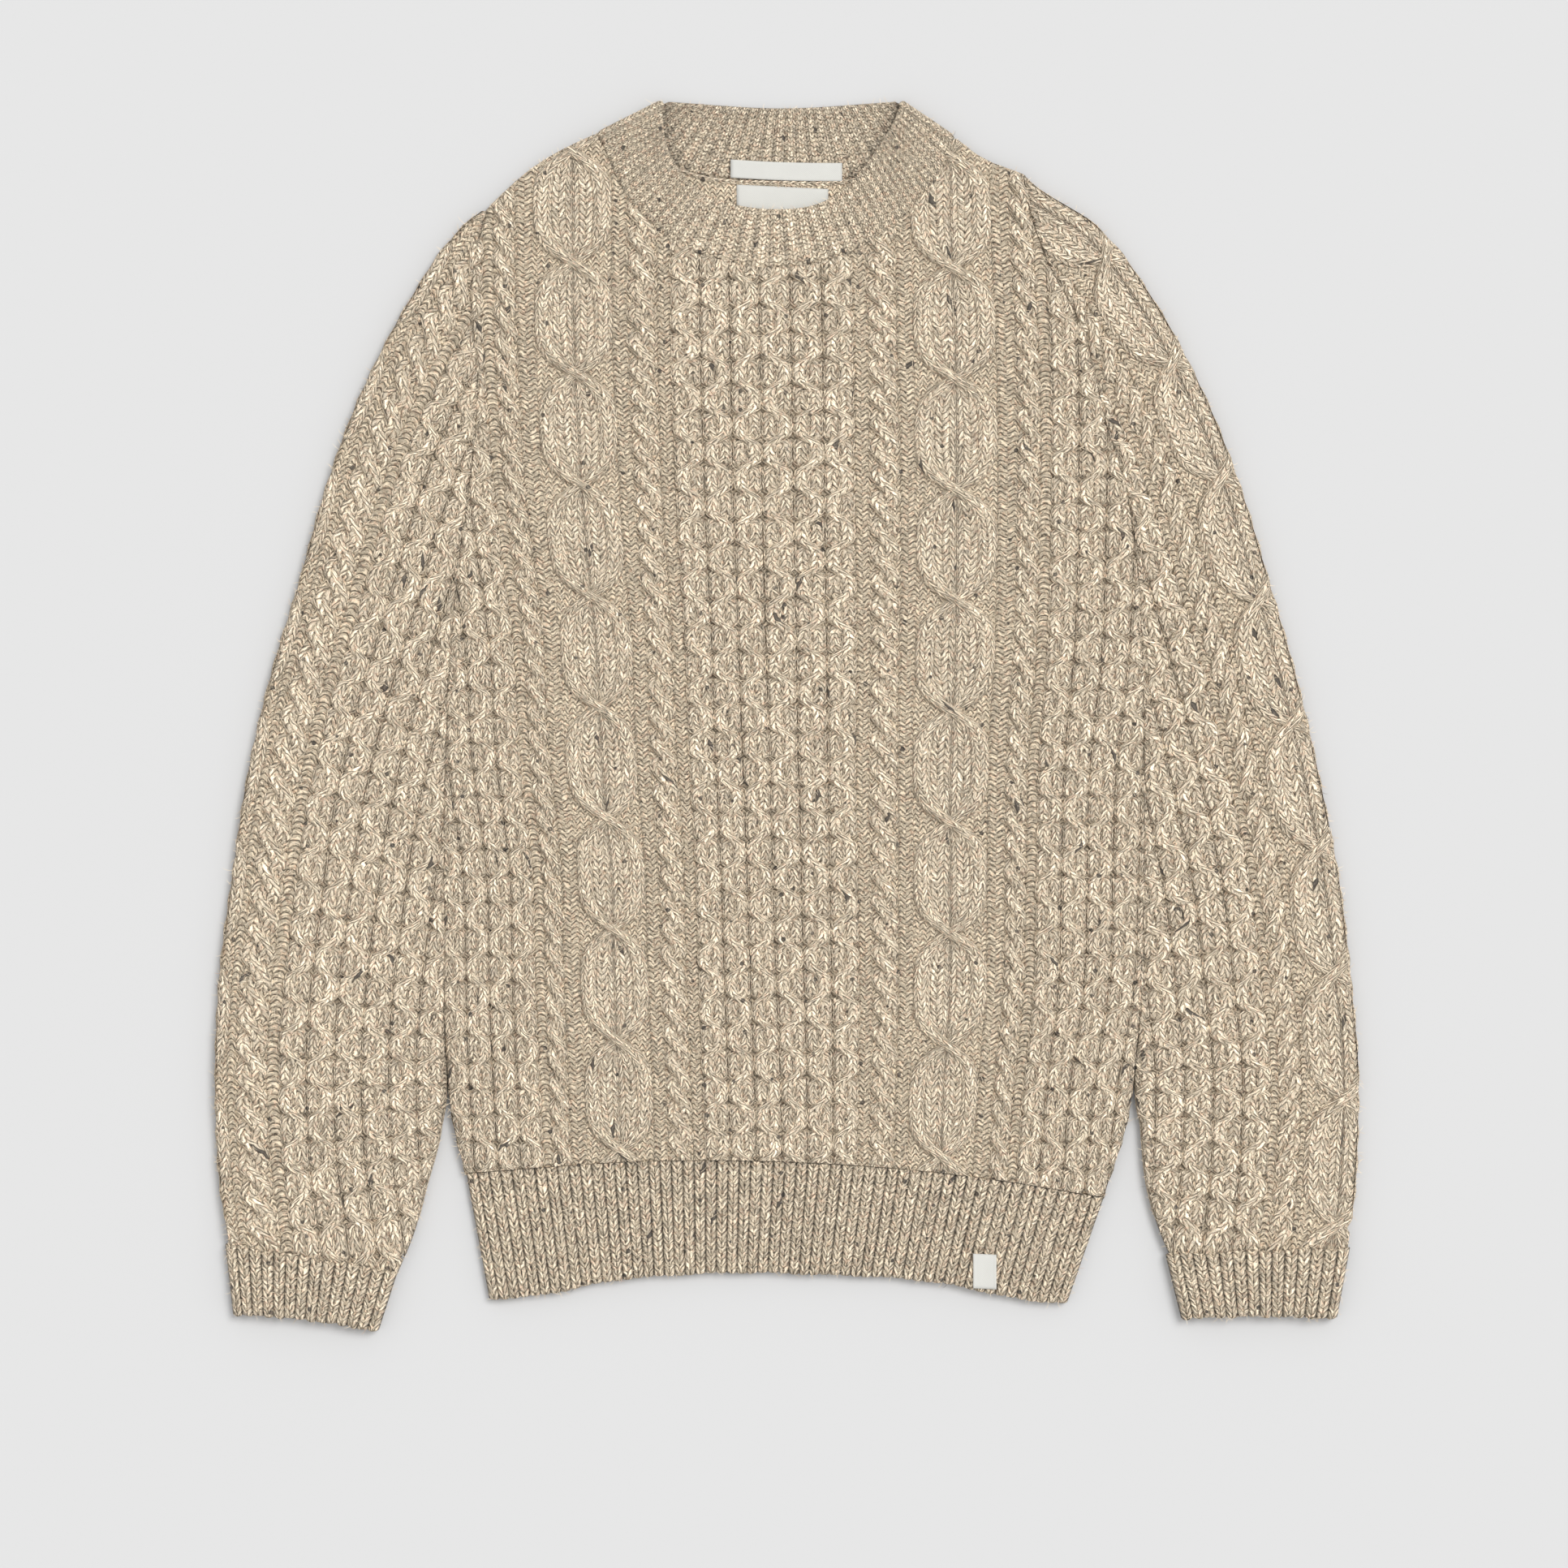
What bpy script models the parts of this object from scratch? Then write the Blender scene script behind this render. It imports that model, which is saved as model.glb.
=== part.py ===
# A cable-knit sweater laid flat on a surface, front up, neck towards +Y, hem towards -Y.
# Sizes are in millimetres and become metres where a mesh is made.
# Left and right are the viewer's, so the left sleeve lies at -X.
import math

import bmesh
import bpy
import numpy as np

MM = 0.001

# Layers, as heights above the surface
BACK_TOP = 3.5            # top of the back panel's knit
SEAM_GAP = 0.3            # between pieces that are sewn together
ARMHOLE_GAP = 0.45        # the same where two curved edges meet
FRONT_UNDER = BACK_TOP + SEAM_GAP
WALL = 3.4                # knit between two cables
SLOT_FLOOR = 3.2          # inside of a flattened tube, lower face
SLOT_CEILING = 3.9        # inside of a flattened tube, upper face
SIDE_BULGE = 2.3          # height at which a tube's side is widest
SIDE_INSET = 2.0          # how far a tube's underside stays inside its outline
SLOT_INSET = 4.0          # wall at a tube's closed side
RIM = 1.6                 # height of a top wall at its very edge
PANEL_ROUND = 13.0        # how far in from its edge a panel reaches its full height
CUFF_ROUND = 11.0
HEM_ROUND = 9.0

# Stitch pattern
ROUND = 30.7              # height of one honeycomb ring, eight knitted rows
ROW = ROUND / 4           # spacing of the mesh rows
GROUP = 18.1              # four stitches across
CELL_CENTRE = 197.1       # a honeycomb ring on the centre line is centred at this height
LENS = 64.1               # height of one big cable lens
LENS_CENTRE = 226.0       # a big cable lens is centred here
HIGH = 4.0                # front strand of a cable above the valleys
LOW = 2.0                 # back strand
RIB_HEIGHT = 1.2


def table(columns, *rows):
    names = columns.split()
    return {name: np.array([row[i] for row in rows], float) for i, name in enumerate(names)}


# Side seams and armholes of the body
BODY_SIDES = table("y left right",
                   (313, -166, 137),
                   (292, -173, 141),
                   (258, -181.5, 153),
                   (230, -182, 168),
                   (201, -179, 177.5),
                   (172, -179.5, 184),
                   (132, -184, 196),
                   (85, -190, 203),
                   (30, -195, 206),
                   (-56, -198, 207),
                   (-126, -198, 206),
                   (-197, -197, 202),
                   (-230, -194, 198),
                   (-282, -181, 182))

# Shoulder lines, from the armhole to the neck
SHOULDERS = table("x y",
                  (-174, 292),
                  (-150, 314),
                  (-110, 336),
                  (97, 334),
                  (108, 325),
                  (138, 312))

# Lower edge of the body, where the hem rib begins
HEM_TOP = table("x y",
                (-186, -265),
                (-80, -258),
                (14, -259),
                (108, -267),
                (184, -279))

# Lower edge of the hem rib
HEM_BOTTOM = table("x y",
                   (-172, -337),
                   (-141, -334.5),
                   (-94, -325.5),
                   (-23, -322),
                   (47, -324),
                   (94, -328.5),
                   (141, -338),
                   (162, -340))

# Where the neckband is sewn to the front, from the left fold to the right one
FRONT_NECK = table("t x y",
                   (0, -110, 336),
                   (0.07, -102.5, 320),
                   (0.15, -93, 300),
                   (0.23, -78, 283),
                   (0.33, -55, 268),
                   (0.42, -31, 260.5),
                   (0.5, -5, 257.7),
                   (0.62, 32, 265),
                   (0.75, 64, 285),
                   (0.88, 86, 310),
                   (1, 97, 334))

# Where the neckband is sewn to the back
BACK_NECK = table("t x y",
                  (0, -110, 336),
                  (0.16, -80, 322),
                  (0.3, -50, 311.5),
                  (0.5, -6, 308),
                  (0.7, 38, 309.5),
                  (0.84, 68, 318),
                  (1, 97, 334))

# Free edge of the neckband's front half, which bounds the neck opening
FRONT_FREE = table("t x y",
                   (0, -72, 355),
                   (0.1, -71, 338),
                   (0.24, -60, 314),
                   (0.42, -28, 294.5),
                   (0.5, -6, 292),
                   (0.64, 26, 299),
                   (0.82, 53, 328),
                   (1, 66, 355))

# Free edge of the neckband's back half
BACK_FREE = table("t x y",
                  (0, -72, 355),
                  (0.5, -3, 351),
                  (1, 66, 355))

# How the cable columns drift: their middle, and their spread on either side of it
DRIFT = table("y middle left right",
              (292, -16.5, 0.95, 0.98),
              (200, -15.5, 0.946, 1.0),
              (108, -13.9, 0.91, 0.99),
              (38, -12, 0.868, 0.967),
              (-28, -10, 0.857, 0.925),
              (-94, -8, 0.825, 0.905),
              (-157, -6, 0.828, 0.885),
              (-220, -3.5, 0.827, 0.83),
              (-282, -2.5, 0.815, 0.8))

# Cables of the front from its middle outwards
FRONT_CABLES = (
    ("honeycomb", 0.0, 54.3),
    ("purl", 54.3, 62.0),
    ("rope", 62.0, 80.4),
    ("purl", 80.4, 89.0),
    ("lens", 89.0, 137.0),
    ("purl", 137.0, 147.5),
    ("rope", 147.5, 162.0),
    ("purl", 162.0, 167.5),
    ("honeycomb", 167.5, 276.1),
)

# Cables of the right sleeve, from its outer fold inwards
RIGHT_SLEEVE_CABLES = (
    ("lens", -14.0, 29.0),
    ("purl", 29.0, 33.0),
    ("rope", 33.0, 46.5),
    ("purl", 46.5, 51.5),
    ("honeycomb", 51.5, 142.0),
)

# Cables of the left sleeve, which is turned a little further round
LEFT_SLEEVE_CABLES = (
    ("lens", -38.0, 8.0),
    ("purl", 8.0, 11.0),
    ("rope", 11.0, 31.0),
    ("purl", 31.0, 37.0),
    ("honeycomb", 37.0, 145.6),
)

# Sleeve edges: the outer fold, and the inner fold below where it leaves the body
SLEEVE_EDGES = table("y left_outer left_inner right_outer right_inner",
                     (297, -168, 0, 159, 0),
                     (273, -195.5, 0, 188, 0),
                     (245, -214.5, 0, 208.5, 0),
                     (188, -245, 0, 240, 0),
                     (132, -266, 0, 262, 0),
                     (76, -282, 0, 279, 0),
                     (19, -299, 0, 295, 0),
                     (-37, -312, 0, 308, 0),
                     (-94, -320.5, 0, 319, 0),
                     (-150, -327.5, 0, 325.5, 0),
                     (-206, -330.5, -198, 330.5, 203),
                     (-244, -329.5, -200.5, 330, 205),
                     (-272, -327.5, -208, 328.5, 208),
                     (-300, -323.5, -215.5, 325.5, 216),
                     (-330, -320, -228, 322, 230))
SLEEVE_TOP = {"left": 291.0, "right": 311.0}   # where the sleeve head meets the shoulder
WIDEST = CELL_CENTRE - 46 * ROW   # above this height the body hides part of the sleeve's width
SLEEVE_LEAVES = -206.0    # the inner fold parts from the body below this height

# Turned-up cuffs: corners of the folded band
CUFFS = {
    "cuff_left": dict(top_outer=(-324.5, -306), top_inner=(-225, -322),
                      end_outer=(-320, -346), end_inner=(-236, -356), bow=2.0),
    "cuff_right": dict(top_outer=(325.5, -308), top_inner=(219, -312),
                       end_outer=(318, -348.5), end_inner=(228, -348.5), bow=1.5),
}
CUFF_TUCK = 6.0           # how far the sleeve end runs under the turned-up band
CUFF_LIP = 7.6            # underside of the turned-up band above the sleeve end
CUFF_WALL = 2.8
END_NARROWING = 0.09      # share of its width that the sleeve end loses under the cuff
CUFF_RIBS = 14
CUFF_SIDE_WALL = 1.6      # beside the sleeve end

HEM_RIBS = 56
RIB_ROWS = 3              # mesh rows of a hem or cuff band
BAND_RIBS_FRONT = 30
BAND_RIBS_BACK = 18
BAND_WALL = 3.0
BAND_FRONT_UNDER = 4.8    # the front half lies over the back panel and the labels
BAND_FOLD_STEPS = 4
BAND_RIB_HEIGHT = 0.96
BAND_SHARES = (0.0, 0.5, 0.95)   # mesh rows from the neckband's seam to its free edge
NECK_STEEP = 5.0          # drop of the neckline between two mesh columns that calls for more points
RIB_MESH_STEP = 4         # the plain faces of a rib take every fourth point

# Soft folds that the laid cloth keeps: middle, direction in degrees, half sizes and height
FOLDS = (
    dict(x=-168, y=150, turn=80, length=70, width=9, height=-1.6),
    dict(x=176, y=120, turn=-76, length=75, width=9, height=-1.6),
    dict(x=-140, y=232, turn=38, length=55, width=14, height=1.4),
    dict(x=132, y=238, turn=-40, length=50, width=14, height=1.4),
    dict(x=-30, y=-215, turn=4, length=110, width=20, height=-1.2),
    dict(x=-238, y=60, turn=66, length=80, width=12, height=1.5),
    dict(x=-222, y=-20, turn=78, length=60, width=9, height=-1.5),
    dict(x=240, y=52, turn=-68, length=80, width=12, height=1.5),
    dict(x=228, y=-60, turn=-80, length=70, width=9, height=-1.5),
    dict(x=-262, y=-262, turn=20, length=40, width=10, height=-1.3),
    dict(x=268, y=-255, turn=-24, length=42, width=10, height=-1.3),
)

# Woven tapes, left bare: upper corners, drop, and the height they lie at
LABELS = {
    "neck_label": dict(left=(-32.5, 321), right=(32, 319), drop=10.5, bow=0.6,
                       under=BAND_WALL + BAND_RIB_HEIGHT + 0.25, thick=0.35),
    "size_label": dict(left=(-29, 306.6), right=(24, 304), drop=20.0, bow=0.0,
                       under=BACK_TOP + 0.3, thick=0.35),
    "hem_tab": dict(left=(107.5, -311), right=(121, -311.6), drop=20.0, bow=0.0,
                    under=FRONT_UNDER + WALL + RIB_HEIGHT + 0.3, thick=0.8),
}

KNIT_COLOUR = (0.575, 0.465, 0.325, 1.0)
LABEL_COLOUR = (0.80, 0.79, 0.74, 1.0)


def smooth(rows, value, along="y"):
    """A smooth curve through one column of a table."""
    order = np.argsort(rows[along])
    places = rows[along][order]
    values = rows[value][order]
    slopes = np.gradient(values, places)

    def at(place):
        place = min(max(place, places[0]), places[-1])
        i = min(int(np.searchsorted(places, place, "right")) - 1, len(places) - 2)
        span = places[i + 1] - places[i]
        t = (place - places[i]) / span
        start = (1 + 2 * t) * (1 - t) ** 2 * values[i] + t * (1 - t) ** 2 * span * slopes[i]
        end = t * t * (3 - 2 * t) * values[i + 1] + t * t * (t - 1) * span * slopes[i + 1]
        return start + end

    return at


side_left = smooth(BODY_SIDES, "left")
side_right = smooth(BODY_SIDES, "right")
hem_top = smooth(HEM_TOP, "y", "x")
hem_bottom = smooth(HEM_BOTTOM, "y", "x")
drift_middle = smooth(DRIFT, "middle")
drift_left = smooth(DRIFT, "left")
drift_right = smooth(DRIFT, "right")


def polyline_y(points, x):
    """Height of a line of points, given left to right, at x."""
    return float(np.interp(x, [p[0] for p in points], [p[1] for p in points]))


def curve_points(rows, count):
    """Points along a table of t, x and y."""
    at_x = smooth(rows, "x", "t")
    at_y = smooth(rows, "y", "t")
    return [(at_x(i / count), at_y(i / count)) for i in range(count + 1)]


def ridge(distance, half_width):
    """Round profile of one strand, 1 on its middle line and 0 at its sides."""
    inside = 1 - (distance / half_width) ** 2
    return math.sqrt(inside) if inside > 0 else 0.0


def soft_wave(turns):
    """A cosine with flattened crests: strands run straight between two crossings."""
    return math.tanh(1.3 * math.cos(2 * math.pi * turns)) / math.tanh(1.3)


def honeycomb(across, y):
    """Rings of two-stitch strands; neighbouring groups of four stitches mirror each other."""
    group = math.floor(across / GROUP)
    middle = (group + 0.5) * GROUP
    mirror = 1 if group % 2 == 0 else -1
    swing = mirror * GROUP / 4 * soft_wave((y - CELL_CENTRE) / ROUND)
    front = HIGH * ridge(across - middle - swing, GROUP / 4 + 0.8)
    back = LOW * ridge(across - middle + swing, GROUP / 4 + 0.5)
    return max(front, back)


def rope(across, width, y, lean):
    """Two strands twisted round each other; every rope of the sweater leans down to the right."""
    turn = 2 * math.pi * (y - CELL_CENTRE) / ROUND
    height = 0.0
    for strand in (0.0, math.pi):
        place = width / 4 * math.cos(turn + strand)
        lift = LOW + (HIGH - LOW) * lean * math.sin(turn + strand)
        height = max(height, lift * ridge(across - place, width / 4 + 1.0))
    return height


def lens(across, width, y):
    """Two outer strands that cross between lenses, with plain knit inside each lens."""
    wave = math.cos(math.pi * (y - LENS_CENTRE) / LENS)
    reach = width / 2 - 6.0
    height = LOW * ridge(across, width / 2 - 3)
    height -= LOW * 0.6 * ridge(across, 3.0)
    for strand in (1.0, -1.0):
        place = strand * reach * math.copysign(abs(wave) ** 0.7, wave)
        height = max(height, HIGH * ridge(across - place, 6.5))
    return height


def relief(cables, across, y, lean):
    """Height of the cables above the valleys; lean is 1 where places run to the right, else -1."""
    for kind, start, end in cables:
        if start <= across < end:
            middle = (start + end) / 2
            if kind == "honeycomb":
                return honeycomb(across - (start if start else 0.0), y)
            if kind == "rope":
                return rope(across - middle, end - start, y, lean)
            if kind == "lens":
                return lens(across - middle, end - start, y)
    return 0.0


def mesh_places(cables, first, last):
    """Where the mesh columns go so that every strand and valley has its own."""
    places = []
    for kind, start, end in cables:
        if kind == "honeycomb":
            steps = int((end - start) / (GROUP / 2) + 0.5)
            places += [start + i * GROUP / 2 for i in range(0 if start == 0 else 1, steps + 1)]
        shares = {"purl": (0.5,), "rope": (0.25, 0.75), "lens": (0.1, 0.3, 0.5, 0.7, 0.9)}.get(kind, ())
        places += [start + share * (end - start) for share in shares]
    return [place for place in sorted(places) if first < place < last]


def folds_at(x, y):
    total = 0.0
    for fold in FOLDS:
        turn = math.radians(fold["turn"])
        along = (x - fold["x"]) * math.cos(turn) + (y - fold["y"]) * math.sin(turn)
        across = -(x - fold["x"]) * math.sin(turn) + (y - fold["y"]) * math.cos(turn)
        total += fold["height"] * math.exp(-(along / fold["length"]) ** 2 - (across / fold["width"]) ** 2)
    return total


def rounded(depth, radius):
    """Share of the full height at a distance in from a rounded edge."""
    if depth >= radius:
        return 1.0
    return math.sqrt(max(0.0, 1 - (1 - depth / radius) ** 2))


class Solid:
    """Points and faces of one piece, in millimetres."""

    def __init__(self):
        self.points = []
        self.faces = []

    def add(self, x, y, z):
        self.points.append((x, y, z))
        return len(self.points) - 1

    def copy(self, index, z, dx=0.0, dy=0.0):
        x, y, _ = self.points[index]
        return self.add(x + dx, y + dy, z)

    def length(self, a, b):
        ax, ay, az = self.points[a]
        bx, by, bz = self.points[b]
        return math.hypot(ax - bx, ay - by) + 1.5 * abs(az - bz)

    def stitch(self, low, high):
        """Triangles between two runs of points; the shorter diagonal follows the ridges."""
        i = j = 0
        while i < len(low) - 1 or j < len(high) - 1:
            step_low = i < len(low) - 1
            if step_low and j < len(high) - 1:
                step_low = self.length(low[i + 1], high[j]) <= self.length(low[i], high[j + 1])
            if step_low:
                face = (low[i], low[i + 1], high[j])
                i += 1
            else:
                face = (low[i], high[j + 1], high[j])
                j += 1
            if len(set(face)) == 3:  # two runs may start from a shared point
                self.faces.append(face)

    def polygon(self, loop):
        self.faces.append(tuple(loop))

    def make(self, name, material):
        mesh = bpy.data.meshes.new(name)
        mesh.from_pydata([(x * MM, y * MM, z * MM) for x, y, z in self.points], [], self.faces)
        edit = bmesh.new()
        edit.from_mesh(mesh)
        wide = [face for face in edit.faces if len(face.verts) > 3]
        bmesh.ops.triangulate(edit, faces=wide, quad_method="BEAUTY", ngon_method="BEAUTY")
        edit.to_mesh(mesh)
        edit.free()
        mesh.materials.append(material)
        mesh.shade_smooth()
        mesh.set_sharp_from_angle(angle=math.radians(50))
        thing = bpy.data.objects.new(name, mesh)
        bpy.context.scene.collection.objects.link(thing)
        return thing


def every(run, step):
    """The first, the last and every step-th point of a run."""
    kept = list(run[:-1:step])
    if len(kept) > 1 and len(run) - 1 - (len(kept) - 1) * step < step / 2:
        kept.pop()
    return kept + [run[-1]]


def close_panel(solid, columns, top_run, under):
    """Gives a top wall its rim and a plain flat underside."""
    outline = list(columns[0])
    outline += [column[-1] for column in columns[1:-1]]
    outline += list(reversed(columns[-1]))
    outline += reversed(top_run[1:-1])
    lower = [solid.copy(point, under) for point in outline]
    solid.stitch(lower + [lower[0]], outline + [outline[0]])
    solid.polygon(reversed(lower))


def close_tube(solid, left_run, right_run, top_run, bottom_run, step):
    """Gives a top wall its sides, a flat underside, and a flat inside open at both ends."""
    sides = []
    for column, inward in ((left_run, 1), (right_run, -1)):
        kept = every(column, 2)
        bulge = [solid.copy(point, SIDE_BULGE) for point in kept]
        under = [solid.copy(point, 0.0, inward * SIDE_INSET) for point in kept]
        ceiling = [solid.copy(point, SLOT_CEILING, inward * SLOT_INSET) for point in kept[1:-1]]
        floor = [solid.copy(point, SLOT_FLOOR, inward * SLOT_INSET) for point in kept[1:-1]]
        sides.append((list(column), bulge, under, ceiling, floor))
    ends = []
    for run in (top_run, bottom_run):
        kept = every(run[1:-1], step)
        under = [solid.copy(point, 0.0) for point in kept]
        ceiling = [solid.copy(point, SLOT_CEILING) for point in kept]
        floor = [solid.copy(point, SLOT_FLOOR) for point in kept]
        ends.append((run, under, ceiling, floor))

    def turned(runs):
        return [list(reversed(run)) for run in runs]

    left = sides[0]
    right = turned(sides[1])
    top = turned(ends[0])
    bottom = ends[1]
    for edge, bulge, under, _, _ in (left, right):
        solid.stitch(under, bulge)
        solid.stitch(bulge, edge)
    for run, under, ceiling, floor in (bottom, top):
        solid.stitch(ceiling, run[1:-1])
        solid.stitch(under, floor)
    under_loop = left[2] + bottom[1] + right[2] + top[1]
    ceiling_loop = left[3] + bottom[2] + right[3] + top[2]
    floor_loop = left[4] + bottom[3] + right[4] + top[3]
    solid.polygon(reversed(under_loop))
    solid.polygon(reversed(ceiling_loop))
    solid.polygon(floor_loop)
    for side, before, after in ((left, top, bottom), (right, bottom, top)):
        ceiling = [before[2][-1]] + side[3] + [after[2][0]]
        floor = [before[3][-1]] + side[4] + [after[3][0]]
        solid.stitch(ceiling, floor)
        # the closed corners of the two open ends
        edge, bulge, under = side[0], side[1], side[2]
        solid.polygon((before[1][-1], under[0], bulge[0], edge[0],
                       before[0][-2], before[2][-1], before[3][-1]))
        solid.polygon((under[-1], after[1][0], after[3][0], after[2][0], after[0][1], edge[-1], bulge[-1]))


def levels(top, bottom):
    """Heights of the mesh rows between two ends, on the pattern's own grid."""
    first = math.floor((top - 0.4 * ROW - CELL_CENTRE) / ROW)
    rows = []
    step = first
    while CELL_CENTRE + step * ROW > bottom + 0.4 * ROW:
        rows.append(CELL_CENTRE + step * ROW)
        step -= 1
    return [top] + rows + [bottom]


def meet(place_at, line_at, guess):
    """Height where a mesh column meets an edge line."""
    y = guess
    for _ in range(30):
        y += 0.5 * (line_at(place_at(y)) - y)
    return y


def front_neck_points():
    """Cut edge of the front's neckline, half a seam gap out from the seam itself."""
    seam = curve_points(FRONT_NECK, 44)
    edge = []
    for i, (x, y) in enumerate(seam):
        (x0, y0), (x1, y1) = seam[max(0, i - 1)], seam[min(len(seam) - 1, i + 1)]
        size = math.hypot(x1 - x0, y1 - y0)
        edge.append((x + (y1 - y0) / size * SEAM_GAP / 2, y - (x1 - x0) / size * SEAM_GAP / 2))
    return edge


def body_top_points():
    """Shoulders and front neckline, left to right."""
    shoulder = smooth(SHOULDERS, "y", "x")
    neck = front_neck_points()
    left = [(x, shoulder(x)) for x in np.linspace(-174, -110, 8)[:-1]]
    right = [(x, shoulder(x)) for x in np.linspace(97, 138, 5)[1:]]
    return left + neck + right


def front_across(share_place, y):
    """World x of a pattern place on the front at height y."""
    spread = drift_right(y) if share_place > 0 else drift_left(y)
    return drift_middle(y) + share_place * spread


def front_columns():
    """Mesh columns of the front: functions of y, and what each carries."""
    inner = mesh_places(FRONT_CABLES, -1, 166)
    fixed = [-place for place in reversed(inner) if place > 0] + inner
    outer_shares = (0.30, 0.55, 0.78, 0.93, 1.0)
    edge_room = 12.0
    lens_end = 137.0

    def squeezed(place, y):
        # the outermost rope gives way where the armhole cuts into the panel
        side = math.copysign(1, place)
        edge = side_right(y) if side > 0 else side_left(y)
        spread = drift_right(y) if side > 0 else drift_left(y)
        limit = abs(edge - drift_middle(y)) / spread - edge_room
        size = abs(place)
        if size > lens_end and limit < inner[-1]:
            size = lens_end + (size - lens_end) * (limit - lens_end) / (inner[-1] - lens_end)
        return side * size

    columns = []
    for share in reversed(outer_shares):
        def x_at(y, share=share):
            start = front_across(squeezed(-inner[-1], y), y)
            return start + share * (side_left(y) - start)
        columns.append(x_at)
    for place in fixed:
        columns.append(lambda y, place=place: front_across(squeezed(place, y), y))
    for share in outer_shares:
        def x_at(y, share=share):
            start = front_across(squeezed(inner[-1], y), y)
            return start + share * (side_right(y) - start)
        columns.append(x_at)
    return columns


def front_height(x, y, edge_depth):
    spread = drift_right(y) if x > drift_middle(y) else drift_left(y)
    across = (x - drift_middle(y)) / spread
    height = WALL + relief(FRONT_CABLES, abs(across), y, math.copysign(1, across)) + folds_at(x, y)
    return FRONT_UNDER + max(RIM, height * rounded(edge_depth, PANEL_ROUND))


def make_front(material):
    solid = Solid()
    top_line = body_top_points()
    columns = []
    neck_start, neck_end = FRONT_NECK["x"][0], FRONT_NECK["x"][-1]
    for x_at in front_columns():
        top = meet(x_at, lambda x: polyline_y(top_line, x), 300.0)
        bottom = meet(x_at, hem_top, -265.0) + SEAM_GAP
        column = []
        for y in levels(top, bottom):
            x = x_at(y)
            depth = min(x - side_left(y), side_right(y) - x)
            on_shoulder = not neck_start < x_at(top) < neck_end
            if on_shoulder:
                depth = min(depth, (top - y) + 0.6)
            z = front_height(x, y, depth + 0.4)
            if y == top and not on_shoulder or y == bottom:
                z = FRONT_UNDER + WALL
            column.append(solid.add(x, y, z))
        columns.append(column)
    neck = front_neck_points()
    top_run = [columns[0][0]]
    for left, right in zip(columns, columns[1:]):
        left_x, left_y, _ = solid.points[left[0]]
        right_x, right_y, _ = solid.points[right[0]]
        # where the neckline runs steeply down past a column it gets points of its own
        steep = abs(left_y - right_y) > NECK_STEEP
        between = [solid.add(x, y, FRONT_UNDER + WALL) for x, y in neck
                   if steep and left_x + 0.5 < x < right_x - 0.5]
        top_run += between + [right[0]]
        if left_y > right_y:
            solid.stitch(left, [left[0]] * bool(between) + between + right)
        else:
            solid.stitch([right[0]] * bool(between) + between[::-1] + left, right)
    close_panel(solid, columns, top_run, FRONT_UNDER)
    return solid.make("front", material)


def make_back(material):
    """A plain panel: its outside rests flat, its inside shows only at the neck."""
    shoulder = smooth(SHOULDERS, "y", "x")
    hem_places = np.linspace(-180, 178, 14)
    outline = [(side_left(y) + 2 * SEAM_GAP, y) for y in np.linspace(286, -262, 26)]
    outline += [(x, hem_top(x) + 2 * SEAM_GAP) for x in hem_places]
    outline += [(side_right(y) - 2 * SEAM_GAP, y) for y in np.linspace(-274, 307, 30)]
    outline += [(x, shoulder(x) - SEAM_GAP) for x in (122, 108, 99.5)]
    outline += [(x, y - SEAM_GAP) for x, y in reversed(curve_points(BACK_NECK, 18)[1:-1])]
    outline += [(x, shoulder(x) - SEAM_GAP) for x in (-112.5, -130, -150, -165)]
    solid = Solid()
    count = len(outline)
    loops = []
    for z, inset in ((0.0, 1.5), (1.7, 0.0), (BACK_TOP, 0.0)):
        loop = []
        for i, (x, y) in enumerate(outline):
            ahead = outline[(i + 1) % count]
            behind = outline[i - 1]
            dx, dy = ahead[0] - behind[0], ahead[1] - behind[1]
            size = math.hypot(dx, dy)
            loop.append(solid.add(x - inset * dy / size, y + inset * dx / size, z))
        loops.append(loop)
    for low, high in zip(loops, loops[1:]):
        solid.stitch(low + [low[0]], high + [high[0]])
    solid.polygon(reversed(loops[0]))
    solid.polygon(loops[-1])
    return solid.make("back", material)


def cuff_top_y(cuff, x):
    (x0, y0), (x1, y1) = cuff["top_outer"], cuff["top_inner"]
    return y0 + (y1 - y0) * (x - x0) / (x1 - x0)


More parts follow.
